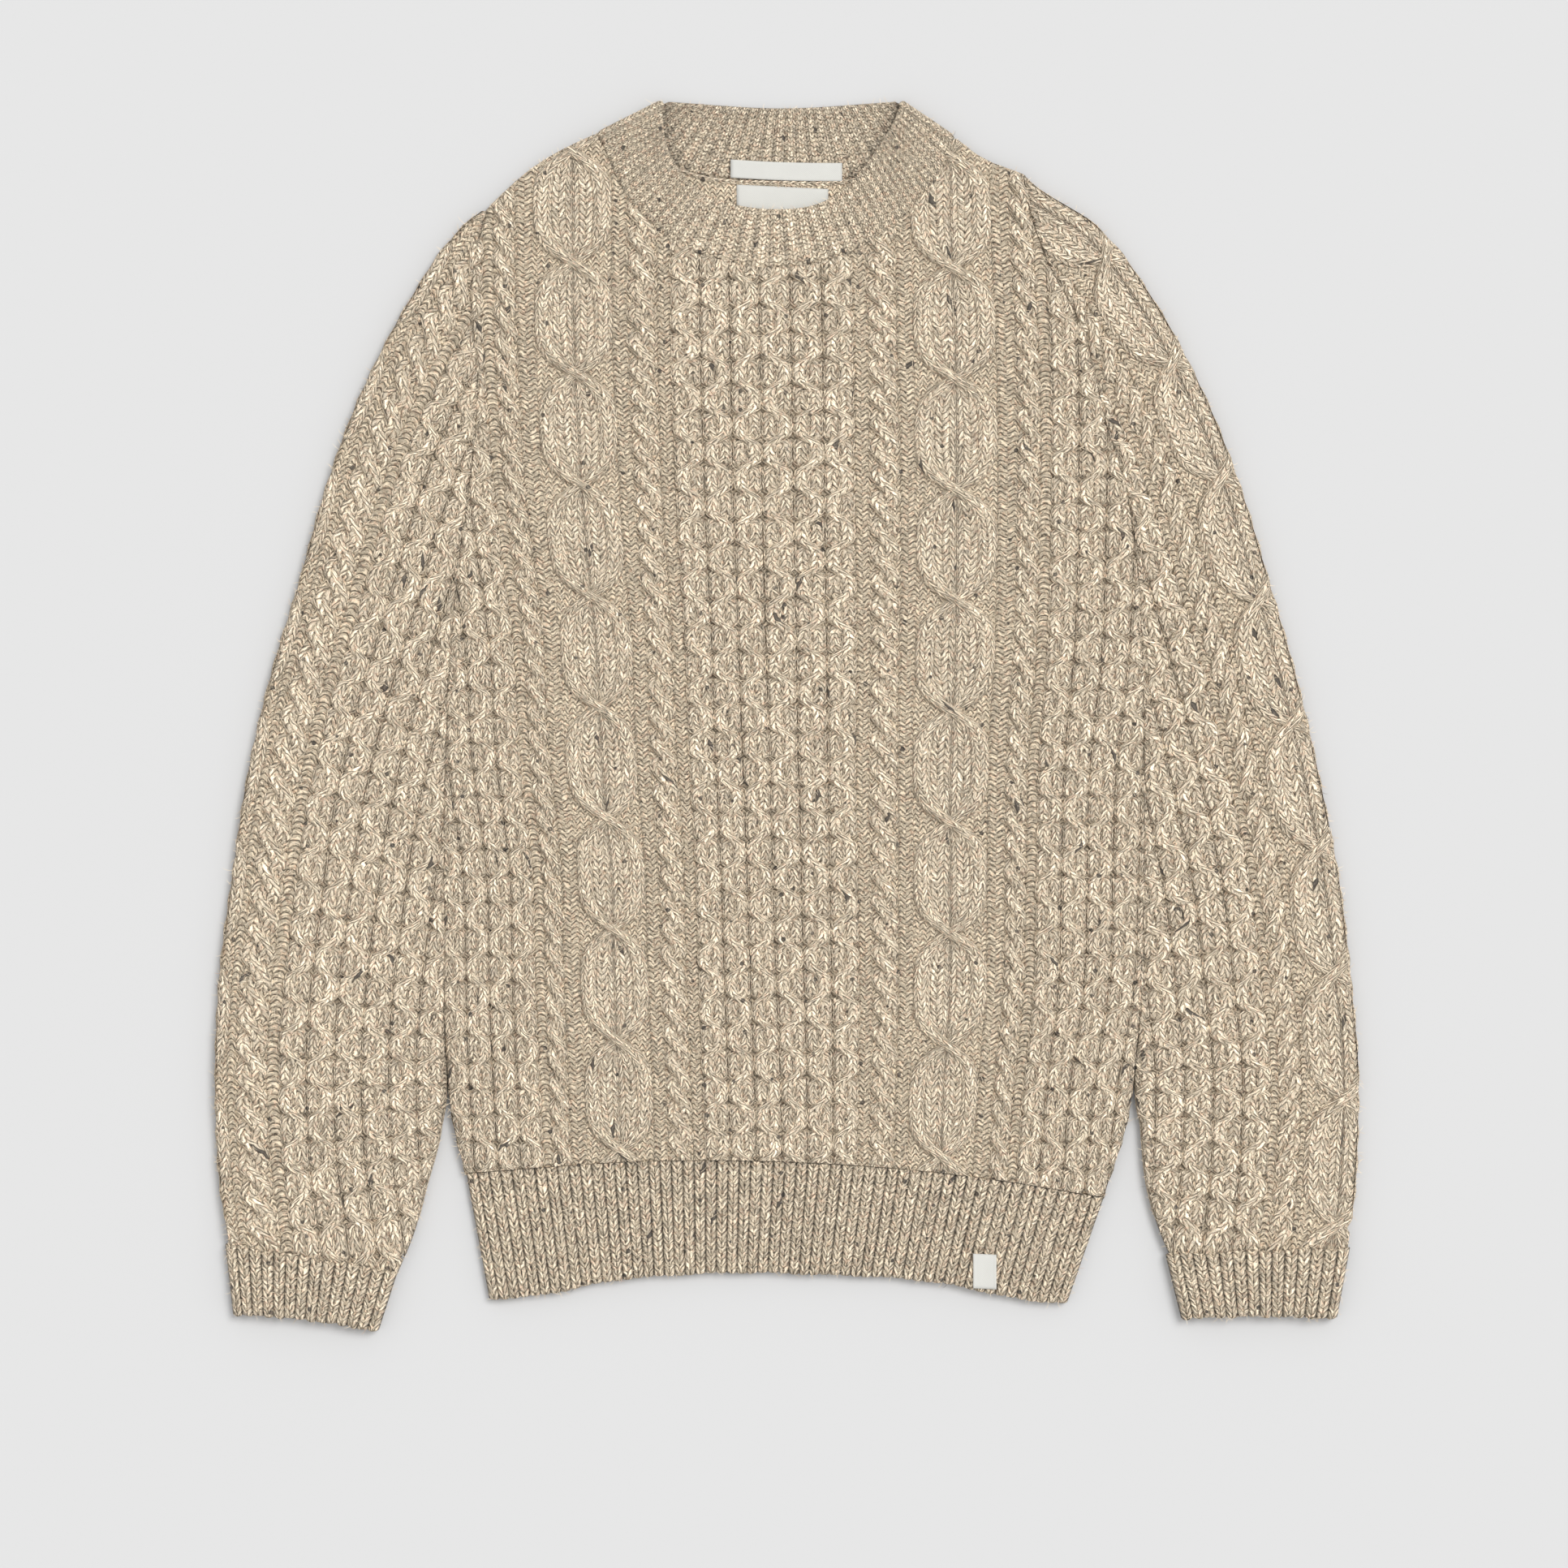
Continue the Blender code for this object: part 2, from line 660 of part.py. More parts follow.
def make_sleeve(name, side, cables, material):
    """One tube, cut along the armhole line at its top end."""
    sign = -1 if side == "left" else 1
    outer = smooth(SLEEVE_EDGES, side + "_outer")
    free_inner = smooth({key: rows[-5:] for key, rows in SLEEVE_EDGES.items()}, side + "_inner")
    body = side_left if side == "left" else side_right
    cuff = CUFFS["cuff_" + side]

    def inner(y):
        beside_body = body(y) + sign * ARMHOLE_GAP
        if y >= SLEEVE_LEAVES:
            return beside_body
        blend = min(1.0, (SLEEVE_LEAVES - y) / 30)
        return beside_body + blend * (free_inner(y) - beside_body)

    cuff_slope = cuff_top_y(cuff, 1.0) - cuff_top_y(cuff, 0.0)

    def slant(y):
        slope = (outer(y + 4) - outer(y - 4)) / 8
        return math.sqrt(1 + slope * slope)

    full = abs(outer(WIDEST) - inner(WIDEST)) / slant(WIDEST)

    def fullness(y):
        return 1.0 if y >= WIDEST else abs(outer(y) - inner(y)) / slant(y) / full

    def x_at(place, y):
        return outer(y) - sign * place * fullness(y) * slant(y)

    def height_at(place, y, above_end):
        x = x_at(place, y) if place < full else inner(y)
        depth = min(abs(x - outer(y)), abs(x - inner(y)))
        height = WALL + relief(cables, place, y, -sign) + folds_at(x, y)
        # the end is plain where it runs under the cuff
        plain = WALL - 0.2
        share = min(1.0, max(0.0, (above_end - CUFF_TUCK) / ROW))
        height = plain + share * (height - plain)
        return FRONT_UNDER + max(RIM, height * rounded(depth + 0.4, PANEL_ROUND))

    solid = Solid()
    sleeve_top = SLEEVE_TOP[side]
    armhole_rows = levels(sleeve_top, WIDEST)
    armhole = [solid.add(inner(y), y, FRONT_UNDER + RIM) for y in armhole_rows]
    runs = []
    leaving = 0
    for place in [0.0, 3.5] + mesh_places(cables, 7.0, full - 7.0) + [full - 3.5, full]:
        while place > 0 and leaving < len(armhole) - 1:
            y = armhole_rows[leaving]
            if leaving > 0 and sign * (x_at(place, y) - inner(y)) > 0.8 and place < full:
                break
            leaving += 1
        bottom = meet(lambda y: x_at(place, y), lambda x: cuff_top_y(cuff, x) - CUFF_TUCK,
                      cuff["top_inner"][1])
        bottom += 2 * SEAM_GAP
        run = [armhole[leaving]]
        for y in levels(sleeve_top, bottom)[1:]:
            if y > armhole_rows[leaving] - 0.1:
                continue
            x = x_at(place, y)
            above_end = y - bottom
            z = height_at(place, y, above_end)
            # and a little narrower there
            tuck = 1 - min(1.0, above_end / (CUFF_TUCK + ROW))
            inward = ((outer(y) + inner(y)) / 2 - x) * END_NARROWING * tuck
            run.append(solid.add(x + inward, y + cuff_slope * inward * tuck, z))
        runs.append((leaving, run))
    for (leave, run), (leave_next, run_next) in zip(runs, runs[1:]):
        beside = armhole[leave:leave_next] + run_next
        if side == "left":
            solid.stitch(run, beside)
        else:
            solid.stitch(beside, run)
    outer_run, inner_run = runs[0][1], runs[-1][1]
    ends = [run[-1] for _, run in runs]
    if side == "left":
        close_tube(solid, outer_run, inner_run, armhole, ends, 2)
    else:
        close_tube(solid, inner_run, outer_run, armhole[::-1], ends[::-1], 2)
    return solid.make(name, material)


def rib_columns(solid, ribs, top_at, end_at, rows, base, edge_radius):
    """A ribbed top wall between two edges; each rib has one raised and one sunk column."""
    columns = []
    count = 2 * ribs
    for i in range(count + 1):
        share = i / count
        (x0, y0), (x1, y1) = top_at(share), end_at(share)
        column = []
        for j in range(rows + 1):
            t = j / rows
            x, y = x0 + (x1 - x0) * t, y0 + (y1 - y0) * t
            depth = min(share, 1 - share) * abs(top_at(1)[0] - top_at(0)[0])
            height = (base + (RIB_HEIGHT if i % 2 else 0.0)) * rounded(depth + 0.5, edge_radius)
            if j == rows:
                height -= 0.8
            column.append(solid.add(x, y, FRONT_UNDER + max(RIM, height)))
        columns.append(column)
    for left, right in zip(columns, columns[1:]):
        solid.stitch(left, right)
    return columns


def close_ribs(solid, columns):
    tops = [column[0] for column in columns]
    bottoms = [column[-1] for column in columns]
    close_tube(solid, columns[0], columns[-1], tops, bottoms, RIB_MESH_STEP)


def make_hem(material):
    def top_at(share):
        x = HEM_TOP["x"][0] + 0.8 + share * (HEM_TOP["x"][-1] - HEM_TOP["x"][0] - 1.6)
        return x, hem_top(x) - SEAM_GAP

    def end_at(share):
        x = HEM_BOTTOM["x"][0] + share * (HEM_BOTTOM["x"][-1] - HEM_BOTTOM["x"][0])
        return x, hem_bottom(x)

    solid = Solid()
    columns = rib_columns(solid, HEM_RIBS, top_at, end_at, RIB_ROWS, WALL, HEM_ROUND)
    close_ribs(solid, columns)
    return solid.make("hem_rib", material)


def make_cuff(name, material):
    """A double band: the outer layer is turned up over the sleeve end."""
    cuff = CUFFS[name]
    corners = [cuff["top_outer"], cuff["top_inner"], cuff["end_outer"], cuff["end_inner"]]
    if name == "cuff_right":
        corners = [corners[1], corners[0], corners[3], corners[2]]
    (tx0, ty0), (tx1, ty1), (ex0, ey0), (ex1, ey1) = corners

    def top_at(share):
        return tx0 + (tx1 - tx0) * share, ty0 + (ty1 - ty0) * share

    def end_at(share):
        bow = cuff["bow"] * math.sin(math.pi * share)
        return ex0 + (ex1 - ex0) * share, ey0 + (ey1 - ey0) * share + bow

    solid = Solid()
    wall = CUFF_LIP + CUFF_WALL - FRONT_UNDER
    columns = rib_columns(solid, CUFF_RIBS, top_at, end_at, RIB_ROWS, wall, CUFF_ROUND)
    close_ribs(solid, columns)
    band = solid.make(name, material)

    # the room that the sleeve end takes under the turned-up layer
    room = Solid()
    slope = (ty1 - ty0) / (tx1 - tx0)
    loop = []
    for x, deep in ((tx0 + CUFF_SIDE_WALL, True), (tx1 - CUFF_SIDE_WALL, True), (tx1 - CUFF_SIDE_WALL, False),
                    (tx0 + CUFF_SIDE_WALL, False)):
        edge = ty0 + slope * (x - tx0)
        loop.append((x, edge - CUFF_TUCK if deep else edge + CUFF_TUCK))
    low = [room.add(x, y, -2.0) for x, y in loop]
    high = [room.add(x, y, CUFF_LIP) for x, y in loop]
    room.stitch(low + [low[0]], high + [high[0]])
    room.polygon(reversed(low))
    room.polygon(high)
    cutter = room.make(name + "_room", material)
    cutter.hide_render = True
    cutter.display_type = "WIRE"
    cut = band.modifiers.new("sleeve end", "BOOLEAN")
    cut.operation = "DIFFERENCE"
    cut.object = cutter
    return band


def band_stations():
    """Places round the neckband, counter-clockwise: back half, right fold, front half, left fold."""
    low = BAND_WALL / 2
    high = BAND_FRONT_UNDER + BAND_WALL / 2
    radius = (high - low) / 2
    fold_room = radius + BAND_WALL / 2
    back, front = [list(zip(curve_points(seam, 2 * ribs), curve_points(free, 2 * ribs)))
                   for seam, free, ribs in ((BACK_NECK, BACK_FREE, BAND_RIBS_BACK),
                                            (FRONT_NECK, FRONT_FREE, BAND_RIBS_FRONT))]

    def half_ring(pairs, z, tilt):
        return [dict(seam=seam, free=free, z=z, tilt=tilt, rib=i % 2 == 0, outward=(0.0, 0.0), out=0.0)
                for i, (seam, free) in enumerate(pairs[1:-1])]

    def fold(pair, hand):
        (seam_x, seam_y), (free_x, free_y) = pair
        length = math.hypot(free_x - seam_x, free_y - seam_y)
        outward = (hand * (free_y - seam_y) / length, -hand * (free_x - seam_x) / length)
        turns = [math.pi * step / BAND_FOLD_STEPS for step in range(1, BAND_FOLD_STEPS)]
        return [dict(seam=pair[0], free=pair[1], z=low + radius * (1 - math.cos(turn)),
                     tilt=turn - math.pi / 2, rib=False, outward=outward,
                     out=radius * math.sin(turn) - fold_room) for turn in turns]

    return (half_ring(back, low, -math.pi / 2) + fold(back[-1], 1)
            + half_ring(front, high, math.pi / 2)[::-1] + fold(back[0], -1)[::-1])


def make_neckband(material):
    """One ribbed ring folded flat: its back half shows the inside, its front half the outside."""
    solid = Solid()
    sections = []
    for station in band_stations():
        (seam_x, seam_y), (free_x, free_y) = station["seam"], station["free"]
        out_x, out_y = station["outward"]
        start = SEAM_GAP / math.hypot(free_x - seam_x, free_y - seam_y)
        rise, reach = math.sin(station["tilt"]), math.cos(station["tilt"])

        def place(share, lift):
            share = start + (1 - start) * share
            push = station["out"] + reach * lift
            return (seam_x + (free_x - seam_x) * share + out_x * push,
                    seam_y + (free_y - seam_y) * share + out_y * push,
                    station["z"] + rise * lift)

        section = []
        for face, shares in ((1, BAND_SHARES), (-1, BAND_SHARES[::-1])):
            upward = face * rise > 0.9
            for share in shares:
                raised = station["rib"] and upward and share > 0
                lift = BAND_WALL / 2 + (BAND_RIB_HEIGHT if raised else 0.0)
                section.append(solid.add(*place(share, face * lift)))
            if face == 1:
                section.append(solid.add(*place(1.0, 0.0)))
        sections.append(section)
    for here, there in zip(sections, sections[1:] + sections[:1]):
        for k in range(len(here)):
            after = (k + 1) % len(here)
            solid.polygon((here[k], here[after], there[after], there[k]))
    return solid.make("neckband", material)


def make_tape(name, label, material):
    """A woven tape with its upper edge from left to right."""
    solid = Solid()
    steps = 8
    layers = []
    (x0, y0), (x1, y1) = label["left"], label["right"]
    for z in (label["under"], label["under"] + label["thick"]):
        upper, lower = [], []
        for i in range(steps + 1):
            t = i / steps
            x = x0 + (x1 - x0) * t
            y = y0 + (y1 - y0) * t - label["bow"] * math.sin(math.pi * t)
            upper.append(solid.add(x, y, z))
            lower.append(solid.add(x, y - label["drop"], z))
        layers.append(lower + list(reversed(upper)))
    low, high = layers
    solid.stitch(low + [low[0]], high + [high[0]])
    half = steps + 1
    for i in range(steps):
        solid.polygon((low[i + 1], low[i], low[2 * half - 1 - i], low[2 * half - 2 - i]))
        solid.polygon((high[i], high[i + 1], high[2 * half - 2 - i], high[2 * half - 1 - i]))
    return solid.make(name, material)


def plain_material(name, colour, roughness):
    material = bpy.data.materials.new(name)
    material.use_nodes = True
    shader = material.node_tree.nodes["Principled BSDF"]
    shader.inputs["Base Color"].default_value = colour
    shader.inputs["Roughness"].default_value = roughness
    shader.inputs["Metallic"].default_value = 0.0
    material.diffuse_color = colour
    return material


def make_sweater():
    for thing in list(bpy.data.objects):
        bpy.data.objects.remove(thing)

    def knit(name):
        return plain_material(name + "_wool", KNIT_COLOUR, 0.95)

    make_front(knit("front"))
    make_back(knit("back"))
    make_sleeve("sleeve_left", "left", LEFT_SLEEVE_CABLES, knit("sleeve_left"))
    make_sleeve("sleeve_right", "right", RIGHT_SLEEVE_CABLES, knit("sleeve_right"))
    make_neckband(knit("neckband"))
    make_hem(knit("hem_rib"))
    for name in CUFFS:
        make_cuff(name, knit(name))

    for name, label in LABELS.items():
        make_tape(name, label, plain_material(name + "_tape", LABEL_COLOUR, 0.6))


make_sweater()
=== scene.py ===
import math

import bmesh
import bpy
import numpy as np
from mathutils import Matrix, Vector
from mathutils.bvhtree import BVHTree


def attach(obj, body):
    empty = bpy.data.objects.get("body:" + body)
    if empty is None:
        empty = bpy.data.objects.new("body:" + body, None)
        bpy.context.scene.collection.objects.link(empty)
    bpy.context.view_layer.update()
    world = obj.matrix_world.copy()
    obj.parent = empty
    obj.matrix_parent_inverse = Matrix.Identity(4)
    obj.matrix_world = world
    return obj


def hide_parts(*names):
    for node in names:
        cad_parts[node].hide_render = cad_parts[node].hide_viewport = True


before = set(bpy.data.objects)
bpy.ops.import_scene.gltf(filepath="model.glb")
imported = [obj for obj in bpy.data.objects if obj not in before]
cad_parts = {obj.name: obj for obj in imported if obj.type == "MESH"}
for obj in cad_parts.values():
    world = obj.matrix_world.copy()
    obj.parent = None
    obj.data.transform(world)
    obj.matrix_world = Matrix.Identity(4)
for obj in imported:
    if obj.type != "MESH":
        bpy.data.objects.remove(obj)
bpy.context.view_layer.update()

mm = 0.001

# named sizes, in millimetres
frontUnder = 3.8          # underside of the front panel
wall = 3.2                # ground knit between two cables
high, low = 4.2, 2.2      # cable strands above the ground
stitch = 4.5              # width of one knitted stitch
ringHeight = 30.7         # from one crossing of the body's cables to the next but one
course = ringHeight / 8   # height of one knitted row
sleeveCourse = 35.5 / 8   # the sleeves hang a little longer


def table(columns, *rows):
    names = columns.split()
    return {name: np.array([row[i] for row in rows], float) for i, name in enumerate(names)}


def curve(rows, value, along="y"):
    order = np.argsort(rows[along])
    places, values = rows[along][order], rows[value][order]
    slopes = np.gradient(values, places)

    def at(place):
        place = np.clip(place, places[0], places[-1])
        i = np.clip(np.searchsorted(places, place, "right") - 1, 0, len(places) - 2)
        span = places[i + 1] - places[i]
        t = (place - places[i]) / span
        return ((1 + 2 * t) * (1 - t) ** 2 * values[i] + t * (1 - t) ** 2 * span * slopes[i]
                + t * t * (3 - 2 * t) * values[i + 1] + t * t * (t - 1) * span * slopes[i + 1])

    return at


bodySides = table("y left right",
                  (313, -166, 137), (292, -173, 141), (258, -181.5, 153), (230, -182, 168),
                  (201, -179, 177.5), (172, -179.5, 184), (132, -184, 196), (85, -190, 203),
                  (30, -195, 206), (-56, -198, 207), (-126, -198, 206), (-197, -197, 202),
                  (-230, -194, 198), (-282, -181, 182))
shoulders = table("x y", (-174, 292), (-150, 314), (-110, 336), (97, 334), (108, 325), (138, 312))
hemTopLine = table("x y", (-186, -265), (-80, -258), (14, -259), (108, -267), (184, -279))
hemEndLine = table("x y", (-172, -337), (-141, -334.5), (-94, -325.5), (-23, -322), (47, -324),
                   (94, -328.5), (141, -338), (162, -340))
neckSeam = table("t x y",
                 (0, -110, 336), (0.07, -102.5, 320), (0.15, -93, 300), (0.23, -78, 283),
                 (0.33, -55, 268), (0.42, -31, 260.5), (0.5, -5, 257.7), (0.62, 32, 265),
                 (0.75, 64, 285), (0.88, 86, 310), (1, 97, 334))
backSeam = table("t x y",
                 (0, -110, 336), (0.16, -80, 322), (0.3, -50, 311.5), (0.5, -6, 308),
                 (0.7, 38, 309.5), (0.84, 68, 318), (1, 97, 334))
backFree = table("t x y", (0, -72, 355), (0.5, -3, 351), (1, 66, 355))
# front half of the neckband, rib by rib from fold to fold: seam end and free end
bandRibs = table("t sx sy fx fy",
                 (0, -110, 336, -72, 355),
                 (0.05, -106, 329, -71.5, 344),
                 (0.12, -100, 315, -70.5, 334),
                 (0.2, -92, 299, -66.5, 322),
                 (0.28, -80, 285, -57, 309),
                 (0.36, -63, 272, -45, 300),
                 (0.44, -33, 261, -24, 293.5),
                 (0.5, -5, 257.7, -6, 292),
                 (0.56, 20, 261.5, 12, 293.5),
                 (0.64, 46, 272, 31, 302),
                 (0.72, 62, 283.5, 44, 316),
                 (0.8, 74, 295, 53, 328),
                 (0.88, 84, 307.5, 59, 338),
                 (0.95, 92, 321, 63.5, 347),
                 (1, 97, 334, 66, 355))
drift = table("y middle left right",
              (292, -16.5, 0.95, 0.98), (200, -15.5, 0.946, 1.0), (108, -13.9, 0.91, 0.99),
              (38, -12, 0.868, 0.967), (-28, -10, 0.857, 0.925), (-94, -8, 0.825, 0.905),
              (-157, -6, 0.828, 0.885), (-220, -3.5, 0.827, 0.83), (-282, -2.5, 0.815, 0.8))
sleeveEdges = table("y leftOuter rightOuter",
                    (313, -152, 136), (303, -161, 147), (294, -172, 162), (287, -182, 173.5),
                    (273, -195.5, 188), (245, -214.5, 208.5), (188, -245, 240), (132, -266, 262),
                    (76, -282, 279), (19, -299, 295), (-37, -312, 308), (-94, -320.5, 319),
                    (-150, -327.5, 325.5), (-206, -330.5, 330.5), (-244, -329.5, 330),
                    (-272, -327.5, 328.5), (-300, -323.5, 325.5), (-330, -320, 322))
sleeveFolds = table("y left right",
                    (-206, -198, 203), (-244, -200.5, 205), (-272, -208, 208),
                    (-300, -215.5, 216), (-330, -228, 230))

sideLeft, sideRight = curve(bodySides, "left"), curve(bodySides, "right")
hemTop, hemEnd = curve(hemTopLine, "y", "x"), curve(hemEndLine, "y", "x")
middle = curve(drift, "middle")
spreadLeft, spreadRight = curve(drift, "left"), curve(drift, "right")
shoulderAt = curve(shoulders, "y", "x")


def onShoulder(x):
    return (x < -110) | (x > 97)


def onNeck(x):
    return (x > -109) & (x < 96)


def sewnShare(y):
    # 0 where the body's side is free, 1 where the sleeve is sewn to it
    return np.clip((y + 190) / 40, 0, 1)


def roundedShare(depth, radius):
    return np.sqrt(np.clip(1 - (1 - np.clip(depth / radius, 0, 1)) ** 2, 0, 1))


def softWave(turns):
    return np.tanh(2.0 * np.cos(2 * math.pi * turns)) / math.tanh(2.0)


def wander(seed, size):
    # a slow random wave along a strand
    local = np.random.default_rng(seed)
    waves = [(local.uniform(0.012, 0.06), local.uniform(0, 6.3), local.uniform(0.4, 1)) for _ in range(4)]
    return lambda s: size * sum(a * np.sin(f * s + o) for f, o, a in waves) / 2


# soft creases, each a long low hump or hollow
folds = table("x y turn length width height",
              (-168, 150, 80, 70, 9, -1.6), (176, 120, -76, 75, 9, -1.6), (-140, 232, 38, 55, 14, 1.4),
              (132, 238, -40, 50, 14, 1.4), (-30, -215, 4, 110, 20, -1.2), (-238, 60, 66, 80, 12, 1.5),
              (-222, -20, 78, 60, 9, -1.5), (240, 52, -68, 80, 12, 1.5), (228, -60, -80, 70, 9, -1.5),
              (-262, -262, 20, 40, 10, -1.3), (268, -255, -24, 42, 10, -1.3))


def foldsAt(x, y):
    total = 0
    for x0, y0, turn, length, width, height in zip(*folds.values()):
        turn = math.radians(turn)
        along = (x - x0) * math.cos(turn) + (y - y0) * math.sin(turn)
        across = -(x - x0) * math.sin(turn) + (y - y0) * math.cos(turn)
        total = total + height * np.exp(-(along / length) ** 2 - (across / width) ** 2)
    return total


# meshes gathered from grids
class Cloth:
    def __init__(self, name):
        self.name = name
        self.points, self.faces, self.uvs, self.shades, self.count = [], [], [], [], 0

    def grid(self, x, y, z, u, v, wrap=False, flip=False, shade=1.0):
        # rows x columns of points; quads that have shrunk to nothing are left out; shade is painted shade, kept in
        # a second UV layer that darkens the colour
        rows, columns = x.shape
        points = np.stack([x, y, np.maximum(z, 0.02)], -1)   # nothing sinks into the floor
        index = np.arange(rows * columns).reshape(rows, columns)
        uv = np.stack([u, v], -1)
        a, b = index[:-1, :-1], index[:-1, 1:]
        c, d = index[1:, 1:], index[1:, :-1]
        quads = np.stack([a, b, c, d], -1).reshape(-1, 4)
        if wrap:
            last = np.stack([index[:-1, -1], index[:-1, 0], index[1:, 0], index[1:, -1]], -1)
            quads = np.concatenate([quads, last.reshape(-1, 4)])
        flat, flatUv = points.reshape(-1, 3), uv.reshape(-1, 2)
        shades = np.stack([np.broadcast_to(shade, x.shape).ravel(), np.zeros(x.size)], -1)
        p = flat[quads]
        area = np.linalg.norm(np.cross(p[:, 2] - p[:, 0], p[:, 3] - p[:, 1]), axis=1)
        quads = quads[area > 0.01]
        if flip:
            quads = quads[:, ::-1]
        self.points.append(flat)
        self.faces.append(quads + self.count)
        self.uvs.append(flatUv[quads].reshape(-1, 2))
        self.shades.append(shades[quads].reshape(-1, 2))
        self.count += len(flat)


cloths = {}


def cloth(name):
    cloths[name] = Cloth(name)
    return cloths[name]


def clipRun(x, y, extras, inside):
    # each column keeps its longest run inside the outline and ends exactly on it
    keep = inside(x, y)
    for j in range(x.shape[1]):
        good = keep[:, j] > 0
        if good.all():
            continue
        if not good.any():
            for a in (x, y, *extras):
                a[:, j] = a[0, j]
            continue
        edges = np.flatnonzero(np.diff(np.concatenate([[0], good.astype(int), [0]])))
        runs = edges.reshape(-1, 2)
        start, stop = runs[np.argmax(runs[:, 1] - runs[:, 0])]
        for a in (x, y, *extras):
            if start > 0:
                t = keep[start, j] / (keep[start, j] - keep[start - 1, j])
                a[:start, j] = a[start, j] + t * (a[start - 1, j] - a[start, j])
            if stop < len(good):
                t = keep[stop - 1, j] / (keep[stop - 1, j] - keep[stop, j])
                a[stop:, j] = a[stop - 1, j] + t * (a[stop, j] - a[stop - 1, j])
    return x, y


def ribbon(target, panel, centre, half, lift, wales, steps=8, power=0.5, label=0, tone=1.0):
    # one strand of stitches laid along the panel's own rows
    s = panel["rows"]
    turn = np.linspace(-math.pi / 2, math.pi / 2, steps + 1)
    a = np.sin(turn)
    centre, half, lift = (np.broadcast_to(np.asarray(q, float), s.shape) for q in (centre, half, lift))
    p = centre[:, None] + half[:, None] * a
    rowsGrid = np.repeat(s[:, None], steps + 1, 1)
    x, y = panel["place"](p, rowsGrid)
    x = panel["side"](x, y)
    h = lift[:, None] * np.cos(turn) ** (2 * power)
    u = np.tile((turn / math.pi + 0.5) * wales, (len(s), 1)) + 10 * label
    v = rowsGrid / panel["course"] + 7.31 * label
    x, y = clipRun(x, y, (h, u, v), panel["inside"])
    lift = h * panel["stand"](x, y) - 0.5 * (1 - np.clip(h / 0.8, 0, 1))   # its edges sink in
    z = panel["ground"](x, y) + panel.get("up", 1) * lift
    # painted shade: a strand is darker where it stands low, at its sunk edges, crossings and near seams; tone
    # scales the whole strand's painted shade
    shade = tone * (0.74 + 0.26 * np.clip(lift / 3.2, 0, 1) ** 0.8)
    target.grid(x, y, z, u, v, flip=panel.get("up", 1) < 0, shade=shade)


def honeycombStrands(target, panel, start, groups, group, ringAt, ring, side, firstMirror, label):
    s = panel["rows"]
    for g in range(groups):
        mid = side * (start + (g + 0.5) * group)
        mirror = side * (1 if (g + firstMirror) % 2 == 0 else -1)
        wave = softWave((s - ringAt) / ring)
        swing = mirror * group / 4 * wave
        shift = wander(label + 3 * g, 0.5)(s)
        crossing = 1 - wave ** 2
        # the upper strand is painted a touch lighter and the lower one, lying beneath it, in painted shade
        ribbon(target, panel, mid + swing + shift, group / 4 + 0.55, high - 0.3 + 0.7 * crossing, 2,
               power=0.38, label=label + 2 * g, tone=1.01)
        ribbon(target, panel, mid - swing + shift * 0.4, group / 4 - 0.1 + (group / 4 - 0.7) * crossing,
               low + 0.5 - 1.1 * crossing, 2, power=0.3, label=label + 2 * g + 1, tone=0.92)


def ropeStrands(target, panel, centre, width, ropeAt, ring, label):
    s = panel["rows"]
    turn = 2 * math.pi * (s - ropeAt) / ring
    for k, phase in enumerate((0.0, math.pi)):
        place = width / 4 * np.cos(turn + phase) + wander(label + k, 0.4)(s)
        lift = low + (high - low + 0.2) * np.sin(turn + phase)
        ribbon(target, panel, centre + place, width / 4 + 0.9, np.maximum(lift, 0.1), 2, label=label + k)


def lensStrands(target, panel, centre, width, lensAt, lens, label):
    s = panel["rows"]
    phase = math.pi * (s - lensAt) / lens
    wave = np.cos(phase)
    reach = width / 2 - 5.6
    spread = np.tanh(1.8 * wave) / math.tanh(1.8)
    for k, hand in enumerate((1, -1)):
        place = hand * reach * spread + wander(label + k, 0.5)(s)
        lift = high - 0.8 + 1.0 * hand * np.sin(phase)
        ribbon(target, panel, centre + place, 6.4, lift, 3, steps=10, power=0.75, label=label + k)
    inner = np.maximum(reach * np.abs(spread) - 1.5, 0.4)
    for k, hand in enumerate((1, -1)):
        ribbon(target, panel, centre + hand * inner / 2, inner / 2 + 0.1, 1.5 * np.clip(inner / 8, 0, 1), 3,
               steps=10, power=0.25, label=label + 4 + k)


def purlStrip(target, panel, a, b, wales, label):
    s = panel["rows"]
    shift = wander(label, 0.4)(s)
    # the purl valley is painted in shade (tone 0.93)
    ribbon(target, panel, (a + b) / 2 + shift, abs(b - a) / 2 + 0.9, 1.1, wales, steps=6, power=0.2,
           label=label, tone=0.93)


# front panel
topX = np.concatenate([np.linspace(-174, -112, 8), np.linspace(-110, 97, 60), np.linspace(100, 138, 5)])
seamT = np.linspace(0, 1, 200)
seamX, seamY = curve(neckSeam, "x", "t")(seamT), curve(neckSeam, "y", "t")(seamT)
topY = np.where(onShoulder(topX), shoulderAt(topX), np.interp(topX, seamX, seamY))
topSlope = np.gradient(topY, topX)


def topDistance(x, y):
    return (np.interp(x, topX, topY) - y) / np.sqrt(1 + np.interp(x, topX, topSlope) ** 2)


def frontInside(x, y):
    return np.minimum(topDistance(x, y) + np.where(onNeck(x), 0.5, -0.4), y - hemTop(x) - 0.4)


def betweenSides(x, y):
    over = 0.2 - 0.8 * sewnShare(y)
    return np.clip(x, sideLeft(y) + over, sideRight(y) - over)


def frontLift(x, y):
    sewn = sewnShare(y)
    sideRadius = 10 - 3.5 * sewn
    edge = (roundedShare(x - sideLeft(y) + 0.3 + 3.2 * sewn, sideRadius)
            * roundedShare(sideRight(y) - x + 0.3 + 3.2 * sewn, sideRadius))
    return edge * np.where(onShoulder(x), roundedShare(topDistance(x, y) + 0.3, 8.0), 1.0)


